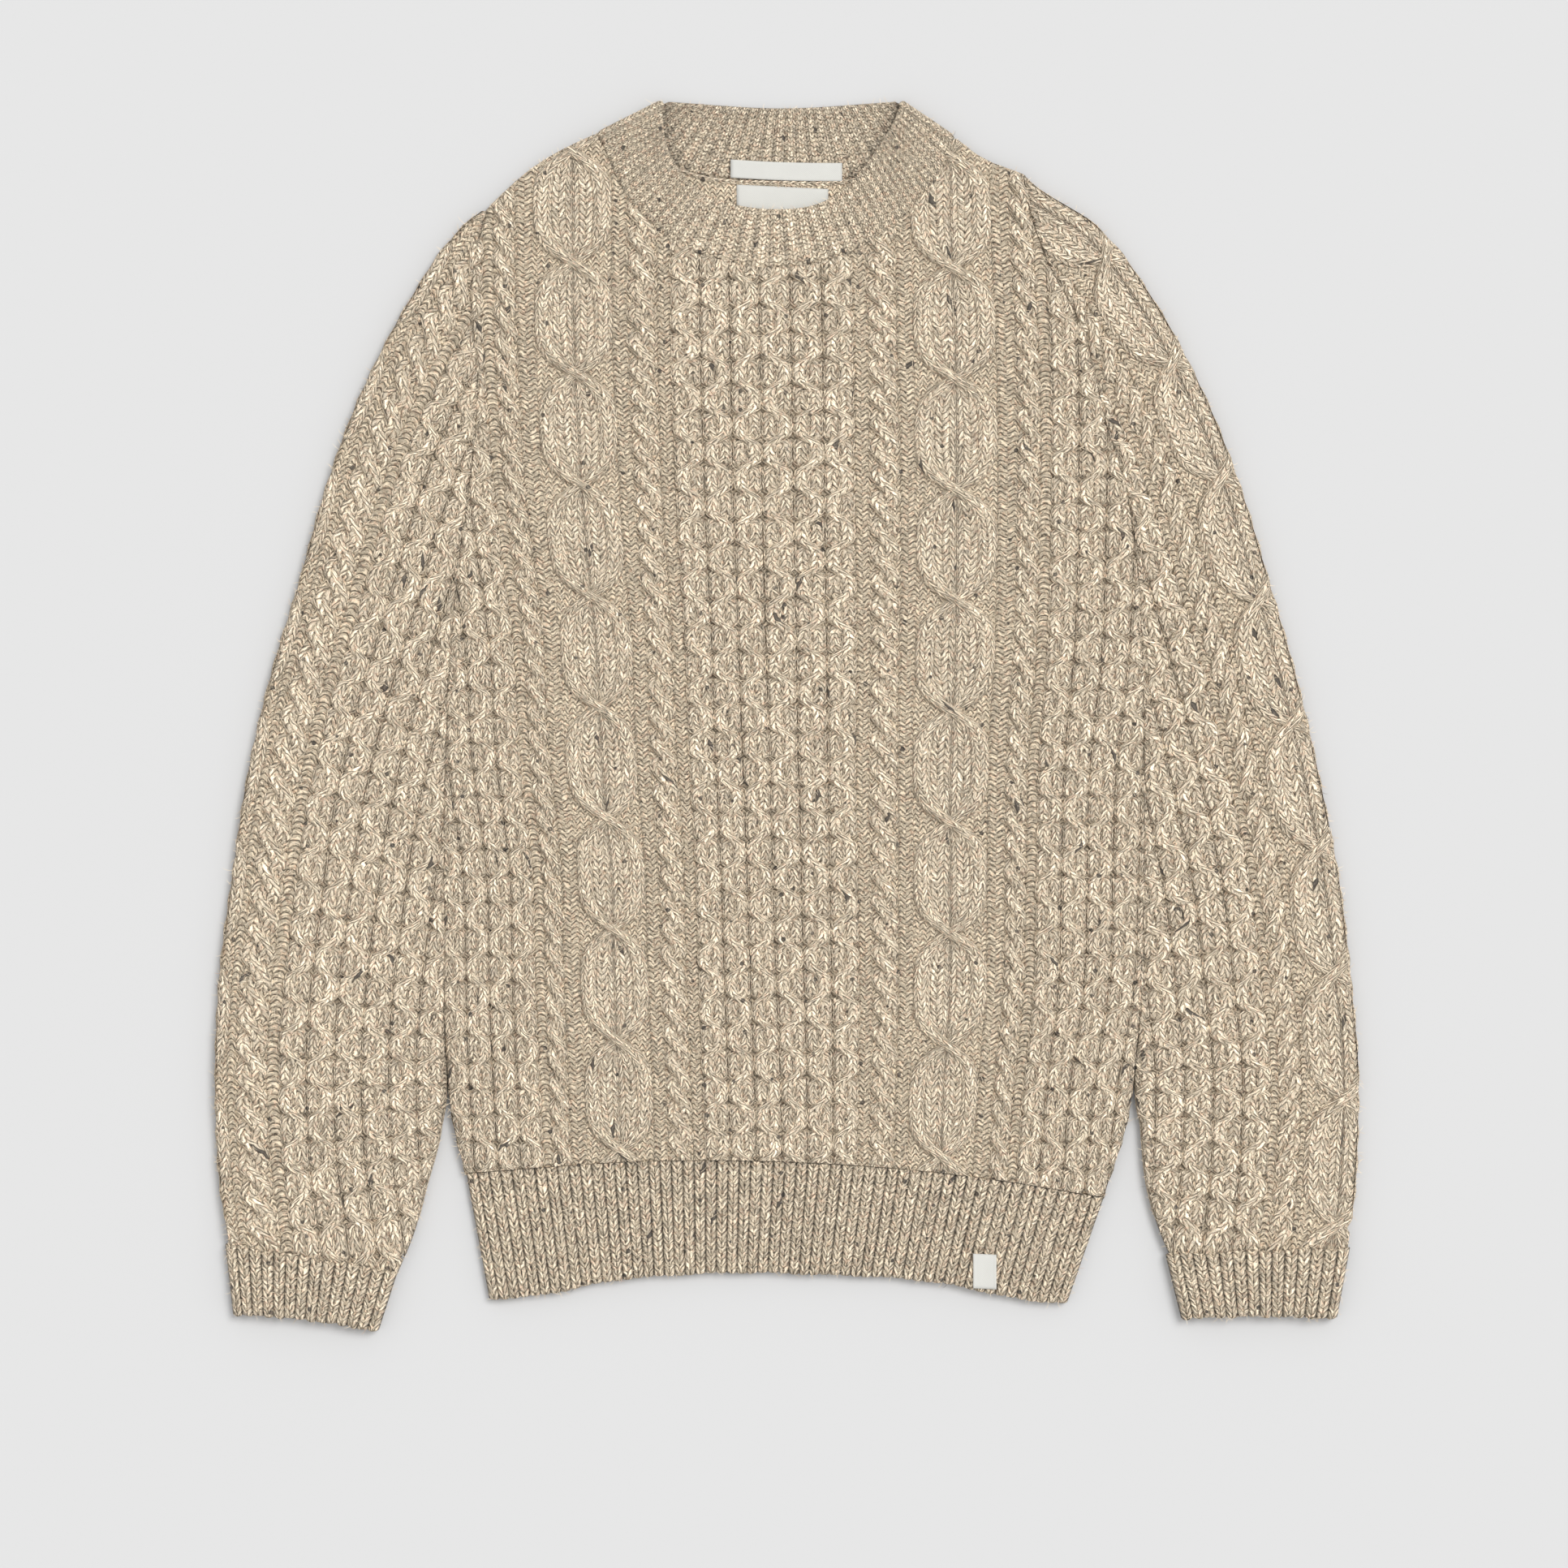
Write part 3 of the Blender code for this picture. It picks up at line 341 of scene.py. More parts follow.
def frontGround(x, y):
    lift = frontLift(x, y)
    neck = 0.75 + 0.25 * roundedShare(topDistance(x, y) + 1.5, 4.0)
    lift = lift * np.where(onShoulder(x), 1.0, neck)
    return frontUnder + 0.8 + (wall - 0.8 + foldsAt(x, y)) * lift


def frontRaise(x, y):
    hem = roundedShare(y - hemTop(x), 5.0)
    beside = roundedShare(np.minimum(x - sideLeft(y), sideRight(y) - x) + 0.7, 8.0)
    top = roundedShare(topDistance(x, y), 6.0)
    return frontLift(x, y) ** 0.7 * beside * (0.3 + 0.7 * top) * (0.3 + 0.7 * hem)


def frontPlace(p, s):
    return middle(s) + p * np.where(p > 0, spreadRight(s), spreadLeft(s)), s + 0


frontPanel = dict(rows=np.arange(-284, 336, course / 1.5), place=frontPlace, inside=frontInside,
                  side=betweenSides, ground=frontGround, stand=frontRaise, course=course)
# distances out from the middle line; the valleys lie between the cables
bodyCables = dict(honeycomb=54.3, innerRope=(62.0, 80.4), lens=(89.0, 137.0), outerRope=(147.5, 162.0),
                  sideHoneycomb=167.5, groups=3, group=18.1, sideGroups=5, sideGroup=16.4,
                  ringAt=197.1, lensHeight=64.1)
backSizes = dict(top=3.5, under=1.7, depth=0.38)


def layBodyCables(panel, side, label, outerLabel, lensAt, rings, ropes, lenses):
    c = bodyCables
    honeycombStrands(rings, panel, 0.0, c["groups"], c["group"], c["ringAt"], ringHeight, side, 0, label)
    for name, at, own in (("innerRope", c["ringAt"] + 4, label + 20), ("outerRope", c["ringAt"] - 9, outerLabel)):
        a, b = c[name]
        ropeStrands(ropes, panel, side * (a + b) / 2, b - a, at, ringHeight, own)
    a, b = c["lens"]
    lensStrands(lenses, panel, side * (a + b) / 2, b - a, lensAt, c["lensHeight"], label + 30)
    honeycombStrands(rings, panel, c["sideHoneycomb"], c["sideGroups"], c["sideGroup"], c["ringAt"] + 9,
                     ringHeight, side, 1, label + 60)


def slab(target, x, y, z, under, u, v, shade=1.0):
    # a top surface, the same grid below it, and the wall between them
    low = np.broadcast_to(under, z.shape) + 0.0
    target.grid(x, y, z, u, v, shade=shade)
    target.grid(x, y, low, u, v, flip=True)
    rims = ((np.s_[:, 0], False), (np.s_[:, -1], True), (np.s_[0, :], True), (np.s_[-1, :], False))
    for cut, turned in rims:
        line = [np.stack([q[cut], r[cut]], 1) for q, r in ((x, x), (y, y), (low, z), (u, u), (v, v + 0.8))]
        target.grid(*line, flip=turned)


def makeFront():
    ground = cloth("front")
    columns = 110
    share = np.linspace(0, 1, columns + 1)
    share = 0.5 - 0.5 * np.cos(math.pi * share) * (0.75 + 0.25 * np.abs(np.cos(math.pi * share)))
    y = np.repeat(np.arange(-290, 345, course)[:, None], columns + 1, 1)
    left, right = sideLeft(y), sideRight(y)
    # the side edges waver from row to row
    wave = 0.5 * np.sin(y * 2 * math.pi / 15.3) + wander(5, 0.5)(y)
    x = left + share * (right - left) + wave * np.where(share < 0.02, 1, np.where(share > 0.98, -1, 0))

    def inside(x, y):
        return np.minimum(topDistance(x, y) + np.where(onNeck(x), 1.8, 0.0), y - hemTop(x) + 1.0)

    u, v = x / stitch, y / course
    x, y = clipRun(x, y, (u, v), inside)
    z = frontGround(x, y)
    z = np.where(y < hemTop(x) + 0.2, z - 1.2, z)
    # painted shade on the ground: darkest where it shows only through gaps between honeycomb strands, light
    # elsewhere
    across = np.abs(x - middle(y)) / np.where(x > middle(y), spreadRight(y), spreadLeft(y))
    groundInShade = (across < 55) | (across > 168)
    slab(ground, x, y, z, frontUnder, u, v, shade=np.where(groundInShade, 0.60, 0.90))

    cables = cloth("front_honeycomb"), cloth("front_ropes"), cloth("front_big_cables")
    valleys = cloth("front_valleys")
    c = bodyCables
    edges = (c["honeycomb"], *c["innerRope"], *c["lens"], *c["outerRope"], c["sideHoneycomb"])
    for side, label, lensAt in ((-1, 400, 229.0), (1, 100, 226.0)):
        for k, wales in enumerate((2, 2, 2, 1)):
            purlStrip(valleys, frontPanel, side * edges[2 * k], side * edges[2 * k + 1], wales, label + 90 + k)
        layBodyCables(frontPanel, side, label, label + 50, lensAt, *cables)


# sleeves
def sleeveFrame(side):
    # points, directions and lengths along the outer fold, from the shoulder down
    outer = curve(sleeveEdges, side + "Outer")
    y = np.arange(345, -350, -1.0)
    slope = (outer(303) - outer(313)) / 10
    x = np.where(y > 313, outer(313) - (y - 313) * slope, outer(y))
    window = 51
    kernel = np.ones(window) / window

    def smoothed(values):
        return np.convolve(np.pad(values, window // 2, mode="edge"), kernel, "valid")

    dx, dy = smoothed(np.gradient(x)), smoothed(np.gradient(y))
    size = np.hypot(dx, dy)
    s = np.concatenate([[0], np.cumsum(np.hypot(np.diff(x), np.diff(y)))])
    return dict(x=x, y=y, dx=dx / size, dy=dy / size, s=s)


cuffSizes = dict(
    left=dict(topOuter=(-324.5, -306), topInner=(-225, -322), endOuter=(-320, -346),
              endInner=(-236, -356), bow=2.0),
    right=dict(topOuter=(325.5, -308), topInner=(219, -312), endOuter=(318, -348.5),
               endInner=(228, -348.5), bow=1.5))
sleeveCables = dict(
    left=dict(lens=(-38, 8), rope=(11, 31), honeycomb=37, group=15.9, firstRing=516.9, firstMirror=1,
              lensAt=500.0, ropeAt=500.0, top=291.0, label=700, underLabel=3000),
    right=dict(lens=(-13, 31), rope=(33, 47.5), honeycomb=51, group=16.7, firstRing=551.0, firstMirror=1,
               lensAt=229.0, ropeAt=500.0, top=311.0, label=1000, underLabel=3300))


def cuffTopLine(side, x):
    (x0, y0), (x1, y1) = cuffSizes[side]["topOuter"], cuffSizes[side]["topInner"]
    return y0 + (y1 - y0) * (x - x0) / (x1 - x0)


def makeSleeve(side):
    sign = -1 if side == "left" else 1
    outer = curve(sleeveEdges, side + "Outer")
    fold = curve(sleeveFolds, side)
    bodySide = sideLeft if side == "left" else sideRight
    shape = sleeveFrame(side)
    sizes = sleeveCables[side]

    def inner(y):
        beside = bodySide(y) + sign * (0.05 - 0.75 * sewnShare(y))
        blend = np.clip((-206 - y) / 30, 0, 1)
        return beside + blend * (fold(np.minimum(y, -206)) - beside)

    def place(p, s):
        x, y, dx, dy = (np.interp(-s, shape["s"], shape[k]) for k in ("x", "y", "dx", "dy"))
        return x + sign * p * dy, y - sign * p * dx

    def distances(x, y):
        slope = (outer(y + 3) - outer(y - 3)) / 6
        slant = np.sqrt(1 + slope * slope)
        return sign * (outer(y) - x) / slant, sign * (x - inner(y)) / np.where(y > 20, slant * 0.96, 1.0)

    def inside(x, y):
        return np.minimum(y - cuffTopLine(side, x) + 3.0, sizes["top"] - y)

    def between(x, y):
        edges = np.stack([inner(y) + sign * 0.2, outer(y) - sign * 0.5])
        return np.clip(x, edges.min(0), edges.max(0))

    def lift(x, y):
        fromOuter, fromInner = distances(x, y)
        sewn = sewnShare(y)
        return roundedShare(fromOuter + 0.3, 10.0) * roundedShare(fromInner + 0.3 + 3.2 * sewn, 9.0 - 2.5 * sewn)

    def groundAt(x, y):
        cuff = np.clip((y - cuffTopLine(side, x) + 1) / 6, 0, 1)
        top = frontUnder + 0.8 + (wall - 0.8 + foldsAt(x, y)) * lift(x, y)
        return np.minimum(top, 6.6 + 6 * cuff)

    def raiseAt(x, y):
        cuff = np.clip((y - cuffTopLine(side, x) + 1.5) / 7, 0, 1)
        return lift(x, y) ** 0.7 * cuff * roundedShare(distances(x, y)[1] + 0.7, 8.0)

    panel = dict(rows=-shape["s"][-1] + np.arange(0, shape["s"][-1] - 8, sleeveCourse / 1.5), place=place,
                 inside=inside, side=between, ground=groundAt, stand=raiseAt, course=sleeveCourse)

    ground = cloth("sleeve_" + side)
    rows = np.concatenate([np.arange(-330, sizes["top"], 4.2), [sizes["top"]]])
    columns = 36
    share = 0.5 - 0.5 * np.cos(math.pi * np.linspace(0, 1, columns + 1))
    y = np.repeat(rows[:, None], columns + 1, 1)
    wave = 0.5 * np.sin(y * 2 * math.pi / 17.0) + wander(9, 0.5)(y)
    x = outer(y) + share * (inner(y) - outer(y)) - sign * wave * (share < 0.01)
    # the lower end follows the cuff and narrows to go into it
    bottomShift = np.clip((-290 - y) / 40, 0, 1)
    slanted = y + bottomShift * (cuffTopLine(side, x) - 6 - (-330))
    x2 = np.where(bottomShift > 0, x + ((outer(y) + inner(y)) / 2 - x) * 0.09 * bottomShift, x)
    z = groundAt(x2, slanted)
    near = np.argmin((shape["x"] - x2.reshape(-1, 1)) ** 2 + (shape["y"] - slanted.reshape(-1, 1)) ** 2, 1)
    u = (np.hypot(shape["x"][near] - x2.ravel(), shape["y"][near] - slanted.ravel()) / stitch).reshape(x.shape)
    v = (-shape["s"][near] / sleeveCourse).reshape(x.shape)
    # painted shade on the ground: darkest under the honeycomb strands, light elsewhere
    groundInShade = u * stitch > sizes["honeycomb"] - 1
    ground.grid(x2, slanted, z, u, v, flip=side == "right", shade=np.where(groundInShade, 0.60, 0.90))
    # the under layer, painted in shade, and the folds; the armhole stays open between the two layers
    ground.grid(x2, slanted, np.full_like(z, backSizes["under"]), u, v, flip=side == "left", shade=0.7)
    turns = (slice(None), 0, 0.6, side == "left"), (rows < 20, -1, -0.4, side != "left")
    for kept, column, reach, flip in turns:
        fx, fy, fz = x2[kept, column], slanted[kept, column], z[kept, column]
        gx, gy = np.stack([fx, fx + sign * reach, fx], -1), np.stack([fy] * 3, -1)
        gz = np.stack([fz, fz * 0.6, np.full_like(fz, backSizes["under"])], -1)
        ground.grid(gx, gy, gz, gz / stitch, gy / sleeveCourse, flip=flip)

    def layCables(target, on, label):
        a, b = sizes["rope"]
        ropeStrands(target, on, (a + b) / 2, b - a, -sizes["ropeAt"], sleeveCourse * 8, label)
        honeycombStrands(target, on, sizes["honeycomb"], 6, sizes["group"], -sizes["firstRing"],
                         sleeveCourse * 8, 1, sizes["firstMirror"], label + 20)

    below = dict(panel, rows=panel["rows"][0] + np.arange(0, shape["s"][-1] - 8, sleeveCourse / 1.1), up=-1,
                 ground=lambda x, y: backSizes["under"] + 0 * x,
                 stand=lambda x, y: backSizes["depth"] * lift(x, y))
    layCables(cloth("sleeve_" + side + "_under_cables"), below, sizes["underLabel"])

    cables = cloth("sleeve_" + side + "_cables")
    label = sizes["label"]
    valleys = cloth("sleeve_" + side + "_valleys")
    purlStrip(valleys, panel, sizes["lens"][1], sizes["rope"][0], 1, label + 90)
    purlStrip(valleys, panel, sizes["rope"][1], sizes["honeycomb"], 1, label + 91)
    a, b = sizes["lens"]
    lensStrands(cables, panel, (a + b) / 2, b - a, -sizes["lensAt"], 74.0, label)
    layCables(cables, panel, label + 20)


# the back panel: its inside shows at the neck, its outside rests flat
backTopX = np.concatenate([np.linspace(-174, -112, 8), curve(backSeam, "x", "t")(np.linspace(0.02, 0.98, 60)),
                           np.linspace(99, 138, 5)])
backTopY = np.where(onShoulder(backTopX), shoulderAt(backTopX),
                    np.interp(backTopX, backSeam["x"], backSeam["y"]))


def backInside(x, y):
    return np.minimum(np.interp(x, backTopX, backTopY) - 0.5 - y, y - hemTop(x) - 0.7)


def makeBack():
    ground = cloth("back")
    columns = 70
    share = np.linspace(0, 1, columns + 1)
    y = np.repeat(np.arange(-290, 345, course)[:, None], columns + 1, 1)
    x = sideLeft(y) + 0.8 + share * (sideRight(y) - sideLeft(y) - 1.6)
    u, v = x / stitch, y / course
    x, y = clipRun(x, y, (u, v), backInside)
    edge = roundedShare(np.minimum(x - sideLeft(y), sideRight(y) - x), 3.0)
    slab(ground, x, y, backSizes["under"] + (backSizes["top"] - backSizes["under"]) * (0.5 + 0.5 * edge),
         backSizes["under"], u, v)
    cables = cloth("back_cables")
    panel = dict(rows=np.arange(-284, 336, course / 1.1), place=frontPlace, inside=backInside, course=course,
                 side=betweenSides, up=-1, ground=lambda x, y: backSizes["under"] + 0 * x,
                 stand=lambda x, y: backSizes["depth"] * roundedShare(np.minimum.reduce(
                     [backInside(x, y) + 0.5, x - sideLeft(y), sideRight(y) - x]), 6.0))
    for side, label in ((-1, 2400), (1, 2000)):
        layBodyCables(panel, side, label, label + 20, 226.0, cables, cables, cables)


# ribbed bands that are flat tubes: hem and cuffs
hemSizes = dict(ribs=56, ribHeight=1.5, top=7.0, under=1.2, radius=9.0, lip=1.7, slot=40.0, course=3.7)
cuffBand = dict(ribs=14, ribHeight=1.5, top=10.0, under=1.3, radius=9.0, lip=2.2, slot=22.0, course=3.6)

# heights inside a band, between its upper and its lower layer
bandInside = dict(upperLip=4.4, slotTop=4.1, middle=3.55, lowerLip=2.9, slotFloor=2.8)


def ribShape(phase):
    away = 2 * np.abs(phase - np.floor(phase) - 0.5)
    return np.sqrt(np.clip(1 - away ** 2.2, 0, 1))


def makeBand(name, sizes, topAt, endAt, turnedUp=False):
    target = cloth(name)
    ribs = sizes["ribs"]
    share = np.linspace(0, 1, ribs * 8 + 1)
    tx, ty = topAt(share)
    ex, ey = endAt(share)
    length = np.hypot(ex - tx, ey - ty)
    dx, dy = (ex - tx) / length, (ey - ty) / length
    rib = ribShape(share * ribs)
    width = abs(tx[-1] - tx[0])
    depth = np.minimum(share, 1 - share) * width + 0.25
    round1, round2 = roundedShare(depth, sizes["radius"]), roundedShare(depth, 3.5)
    lip, top, under, full = sizes["lip"], sizes["top"], sizes["under"], length.mean()
    # down the outside, round the lip, up the inside, down the other inside and back along the underside
    path = []
    outer = np.linspace(0, full - lip, int(full / 3.6))
    if turnedUp:
        path += [(lip * (1 - math.cos(q)), top - lip * (1 - math.sin(q)), -math.cos(q), math.sin(q))
                 for q in np.linspace(-0.9, math.pi / 2, 6)[:-1]]
        outer = outer[outer > lip]
    path += [(a, top, 0, 1) for a in outer]
    half = (top - bandInside["upperLip"]) / 2
    path += [(full - lip + lip * math.sin(q), bandInside["upperLip"] + half + half * math.cos(q),
              math.sin(q), math.cos(q)) for q in np.linspace(0, math.pi, 7)[1:]]
    path += [(full - sizes["slot"], bandInside[end], 0, 0) for end in ("slotTop", "slotFloor")]
    half = (bandInside["lowerLip"] - under) / 2
    path += [(full - lip + lip * math.sin(q), under + half + half * math.cos(q),
              math.sin(q), -0.9 * (q > 1.6)) for q in np.linspace(0, math.pi, 6)]
    path += [(a, under, 0, -0.8) for a in outer[::-1]]
    # distance down the band, height, and how far the ribs push it out and up
    down, height, outPush, upPush = np.array(path, float).T[:, :, None]
    along = down / full * length + outPush * rib * sizes["ribHeight"] * 0.6
    z = height + upPush * rib * sizes["ribHeight"]
    middleZ = bandInside["middle"]
    z = middleZ + (z - middleZ) * np.where(height > middleZ, round1, round2)
    waves = 0.35 * np.sin(share * 61) + 0.3 * np.sin(share * 23 + 1)
    along = along + (down > full - 8) * waves
    x, y = tx + dx * along, ty + dy * along
    steps = np.hypot(np.diff(down, axis=0), np.diff(height, axis=0))
    v = -np.concatenate([[[0]], np.cumsum(steps, 0)]) / sizes["course"] + 0 * x
    u = np.tile(share * ribs, (len(path), 1))
    closed = [np.concatenate([q, q[:1]]) for q in (x, y, z, u)]
    v = np.concatenate([v, v[-1:] - 1])
    # painted shade in the valleys between the ribs
    target.grid(*closed, v, flip=True, shade=0.36 + 0.54 * rib ** 0.9)
    # the closing ends are painted in shade
    for end in (0, -1):
        lines = [np.stack([q[:, end], np.full(len(q), q[:, end].mean())]) for q in (*closed, v)]
        target.grid(*lines, flip=end == 0, shade=0.6)


def hemAt(share):
    x = hemTopLine["x"][0] + 0.8 + share * (hemTopLine["x"][-1] - hemTopLine["x"][0] - 1.6)
    return x, hemTop(x) - 0.1


def hemEndAt(share):
    x = hemEndLine["x"][0] + share * (hemEndLine["x"][-1] - hemEndLine["x"][0])
    return x, hemEnd(x)


def makeCuff(side):
    corner = cuffSizes[side]
    ends = [corner["topOuter"], corner["topInner"], corner["endOuter"], corner["endInner"]]
    if side == "right":
        ends = [ends[1], ends[0], ends[3], ends[2]]
    (tx0, ty0), (tx1, ty1), (ex0, ey0), (ex1, ey1) = ends

    def topAt(share):
        return tx0 + (tx1 - tx0) * share, ty0 + (ty1 - ty0) * share + 0.7 * np.sin(share * 19)

    def endAt(share):
        return ex0 + (ex1 - ex0) * share, ey0 + (ey1 - ey0) * share + corner["bow"] * np.sin(math.pi * share)

    makeBand("cuff_" + side, cuffBand, topAt, endAt, turnedUp=True)


# the neckband: one ring folded flat, its back half showing the inside
bandSizes = dict(wall=3.0, frontUnder=4.8, ribsFront=45, ribsBack=27, ribHeight=1.1, steps=8, course=2.7)


def makeNeckband():
    target = cloth("neckband")
    b = bandSizes
    low, high = b["wall"] / 2, b["frontUnder"] + b["wall"] / 2
    radius = (high - low) / 2
    room = radius + b["wall"] / 2
    stations = []

    def half(sx, sy, fx, fy, t, z, tilt, ribs, keepFrom):
        for i in range(1, len(t) - 1):
            ends = ((sx[0], sy[0], fx[0], fy[0]), (sx[-1], sy[-1], fx[-1], fy[-1]))
            near = min(abs((x1 - x0) * (sy[i] - y0) - (y1 - y0) * (sx[i] - x0)) / math.hypot(x1 - x0, y1 - y0)
                       for x0, y0, x1, y1 in ends)
            if near < room + 0.2:
                continue
            stations.append(dict(seam=(sx[i], sy[i]), free=(fx[i], fy[i]), z=z, tilt=tilt, u=keepFrom + t[i] * ribs,
                                 outward=(0, 0), out=0.0))

    def fold(seam, free, hand, u0, u1, back):
        length = math.hypot(free[0] - seam[0], free[1] - seam[1])
        outward = (hand * (free[1] - seam[1]) / length, -hand * (free[0] - seam[0]) / length)
        turns = [math.pi * step / 12 for step in range(1, 12)]
        rows = [dict(seam=seam, free=free, z=low + radius * (1 - math.cos(turn)), tilt=turn - math.pi / 2,
                     u=u0 + (u1 - u0) * turn / math.pi, outward=outward, out=radius * math.sin(turn) - room)
                for turn in turns]
        stations.extend(rows[::-1] if back else rows)

    tb = np.linspace(0, 1, b["ribsBack"] * b["steps"] + 1)
    tf = np.linspace(0, 1, b["ribsFront"] * b["steps"] + 1)
    backLine = [curve(backSeam, "x", "t")(tb), curve(backSeam, "y", "t")(tb),
                curve(backFree, "x", "t")(tb), curve(backFree, "y", "t")(tb)]
    frontLine = [curve(bandRibs, k, "t")(tf) for k in ("sx", "sy", "fx", "fy")]
    half(*backLine, tb, low, -math.pi / 2, b["ribsBack"], 0)
    fold((97, 334), (66, 355), 1, b["ribsBack"], b["ribsBack"] + 3, False)
    start = b["ribsBack"] + 3
    before = len(stations)
    half(*frontLine, tf, high, math.pi / 2, b["ribsFront"], start)
    front = stations[before:]
    for row in front:
        row["u"] = start + b["ribsFront"] - (row["u"] - start)
    stations[before:] = front[::-1]
    start += b["ribsFront"]
    fold((-110, 336), (-72, 355), -1, start + 3, start, True)
    # section: outer face from seam to free edge, a rounded edge, and the inner face back
    outerShare = [(a, 1.0, 1.0) for a in np.linspace(0, 0.955, 14)]
    edge = [(0.955 + 0.045 * math.sin(q), math.cos(q), abs(math.cos(q))) for q in np.linspace(0, math.pi, 7)[1:-1]]
    innerShare = [(a, -1.0, 1.0) for a in np.linspace(0.955, 0, 14)]
    section = outerShare + edge + innerShare
    grid = []
    for row in stations:
        (sx, sy), (fx, fy) = row["seam"], row["free"]
        rise, reach = math.sin(row["tilt"]), math.cos(row["tilt"])
        rib = float(ribShape(np.array(row["u"]))) ** 3
        length = math.hypot(fx - sx, fy - sy)
        line = []
        for share, face, ribbed in section:
            # the ribs stand on what is seen: the outside in front and at the folds, the inside at the back
            shown = face * rise > 0.9 or (abs(rise) < 0.9 and face > 0)
            height = b["ribHeight"] if shown else 0.0
            lift = face * b["wall"] / 2 + face * ribbed * rib * height * min(1, share * 12) - face * 0.15
            push = row["out"] + reach * lift
            line.append((sx + (fx - sx) * share + row["outward"][0] * push,
                         sy + (fy - sy) * share + row["outward"][1] * push,
                         row["z"] + rise * lift, row["u"],
                         share * length / b["course"] + (0 if face > 0 else 50)))
        grid.append(line)
    x, y, z, u, v = np.moveaxis(np.array(grid + grid[:1]), 2, 0)
    u[-1] += b["ribsBack"] + b["ribsFront"] + 6
    # painted shade: the inside of the back is darker, with a painted shadow close under the front half's free edge;
    # the valleys between the ribs are painted darker too
    inBack = (z < low + b["wall"]) & (u < b["ribsBack"])
    near = np.sqrt(np.min([(x - fx) ** 2 + (y - fy) ** 2 for fx, fy in zip(*frontLine[2:])][::4], axis=0))
    paintedShadow = np.where(inBack, 0.90 - 0.30 * np.exp(-(near / 5.0) ** 2), 1.0)
    target.grid(x, y, z, 2 * u + 0.5, v, wrap=True, flip=True, shade=(0.66 + 0.42 * ribShape(u) ** 3) * paintedShadow)


def makeSeamChain():
    # the chain of loops that joins the band to the back, seen below the tape
    target = cloth("neckband_seam")
    t = np.linspace(0.2, 0.8, 160)
    x, y = curve(backSeam, "x", "t")(t), curve(backSeam, "y", "t")(t)
    turn = np.linspace(-0.3, math.pi + 0.3, 9)
    loop = 0.95 + 0.22 * np.abs(np.sin(t * 118))
    gx = np.repeat(x[:, None], len(turn), 1)
    gy = (y - 0.6)[:, None] + 1.35 * loop[:, None] * np.cos(turn)
    gz = 3.45 + 1.05 * loop[:, None] * np.sin(turn)
    u = np.tile(turn / math.pi, (len(t), 1))
    v = np.repeat(t[:, None] * 60, len(turn), 1)
    # the chain is painted a little into shade
    target.grid(gx, gy, gz, u, v, flip=True, shade=0.95)


# woven tapes, left bare
tapes = {
    "neck_label": dict(left=(-32.5, 321), right=(32, 319), drop=10.5, bow=0.6, under=4.21, thick=0.35, fold=2.6),
    "size_label": dict(left=(-29, 306.6), right=(24, 304), drop=20.0, bow=0.0, under=3.8, thick=0.35, fold=0.0),
    "hem_tab": dict(left=(107.5, -311), right=(121, -311.6), drop=20.0, bow=0.0, under=8.7, thick=0.8, fold=1.6),
}


def makeTape(name):
    size = tapes[name]
    target = cloth(name)
    (x0, y0), (x1, y1) = size["left"], size["right"]
    t, d = np.meshgrid(np.linspace(0, 1, 29), np.linspace(0, 1, 13))
    x = x0 + (x1 - x0) * t
    y = y0 + (y1 - y0) * t - size["bow"] * np.sin(math.pi * t) - size["drop"] * d
    ends = np.minimum(t, 1 - t) * abs(x1 - x0)
    edge = np.minimum.reduce([ends, d * size["drop"], (1 - d) * size["drop"]])
    bump = 0.22 * np.clip((size["fold"] - ends) * 2, 0, 1) if size["fold"] else 0
    z = (size["under"] + size["thick"] * (0.5 + 0.5 * np.clip(edge / 0.5, 0, 1)) + bump
         + 0.1 * np.sin(t * 9) * np.sin(d * 3.1))
    slab(target, x, y, z, size["under"], x, y)


# finishes
class Value:
    def __init__(self, finish, out):
        self.finish, self.out = finish, out

    def math(self, kind, first, second=None, clamp=False):
        node = self.finish.tree.nodes.new("ShaderNodeMath")
        node.operation, node.use_clamp = kind, clamp
        self.finish.feed(node.inputs[0], first)
        if second is not None:
            self.finish.feed(node.inputs[1], second)
        return Value(self.finish, node.outputs[0])

    def __add__(self, other):
        return self.math("ADD", self, other)

    def __radd__(self, other):
        return self.math("ADD", other, self)

    def __sub__(self, other):
        return self.math("SUBTRACT", self, other)

    def __rsub__(self, other):
        return self.math("SUBTRACT", other, self)

    def __mul__(self, other):
        return self.math("MULTIPLY", self, other)

    def __rmul__(self, other):
        return self.math("MULTIPLY", other, self)

    def __pow__(self, other):
        return self.math("POWER", self, other)

    def fraction(self):
        return self.math("FRACT", self)

    def floor(self):
        return self.math("FLOOR", self)

    def size(self):
        return self.math("ABSOLUTE", self)

    def root(self):
        return self.math("SQRT", self)

    def sine(self):
        return self.math("SINE", self)

    def cosine(self):
        return self.math("COSINE", self)

    def over(self, limit):
        return self.math("GREATER_THAN", self, limit)

    def atLeast(self, limit):
        return self.math("MAXIMUM", self, limit)

    def kept(self):
        # held between 0 and 1
        return self.math("ADD", self, 0.0, clamp=True)

    def beside(self, out):
        # another output of the same node
        return Value(self.finish, self.out.node.outputs[out])

    def rise(self, low, high, first=0.0, last=1.0):
        return self.finish.node("MapRange", dict(interpolation_type="SMOOTHSTEP"),
                                {0: self, 1: low, 2: high, 3: first, 4: last})


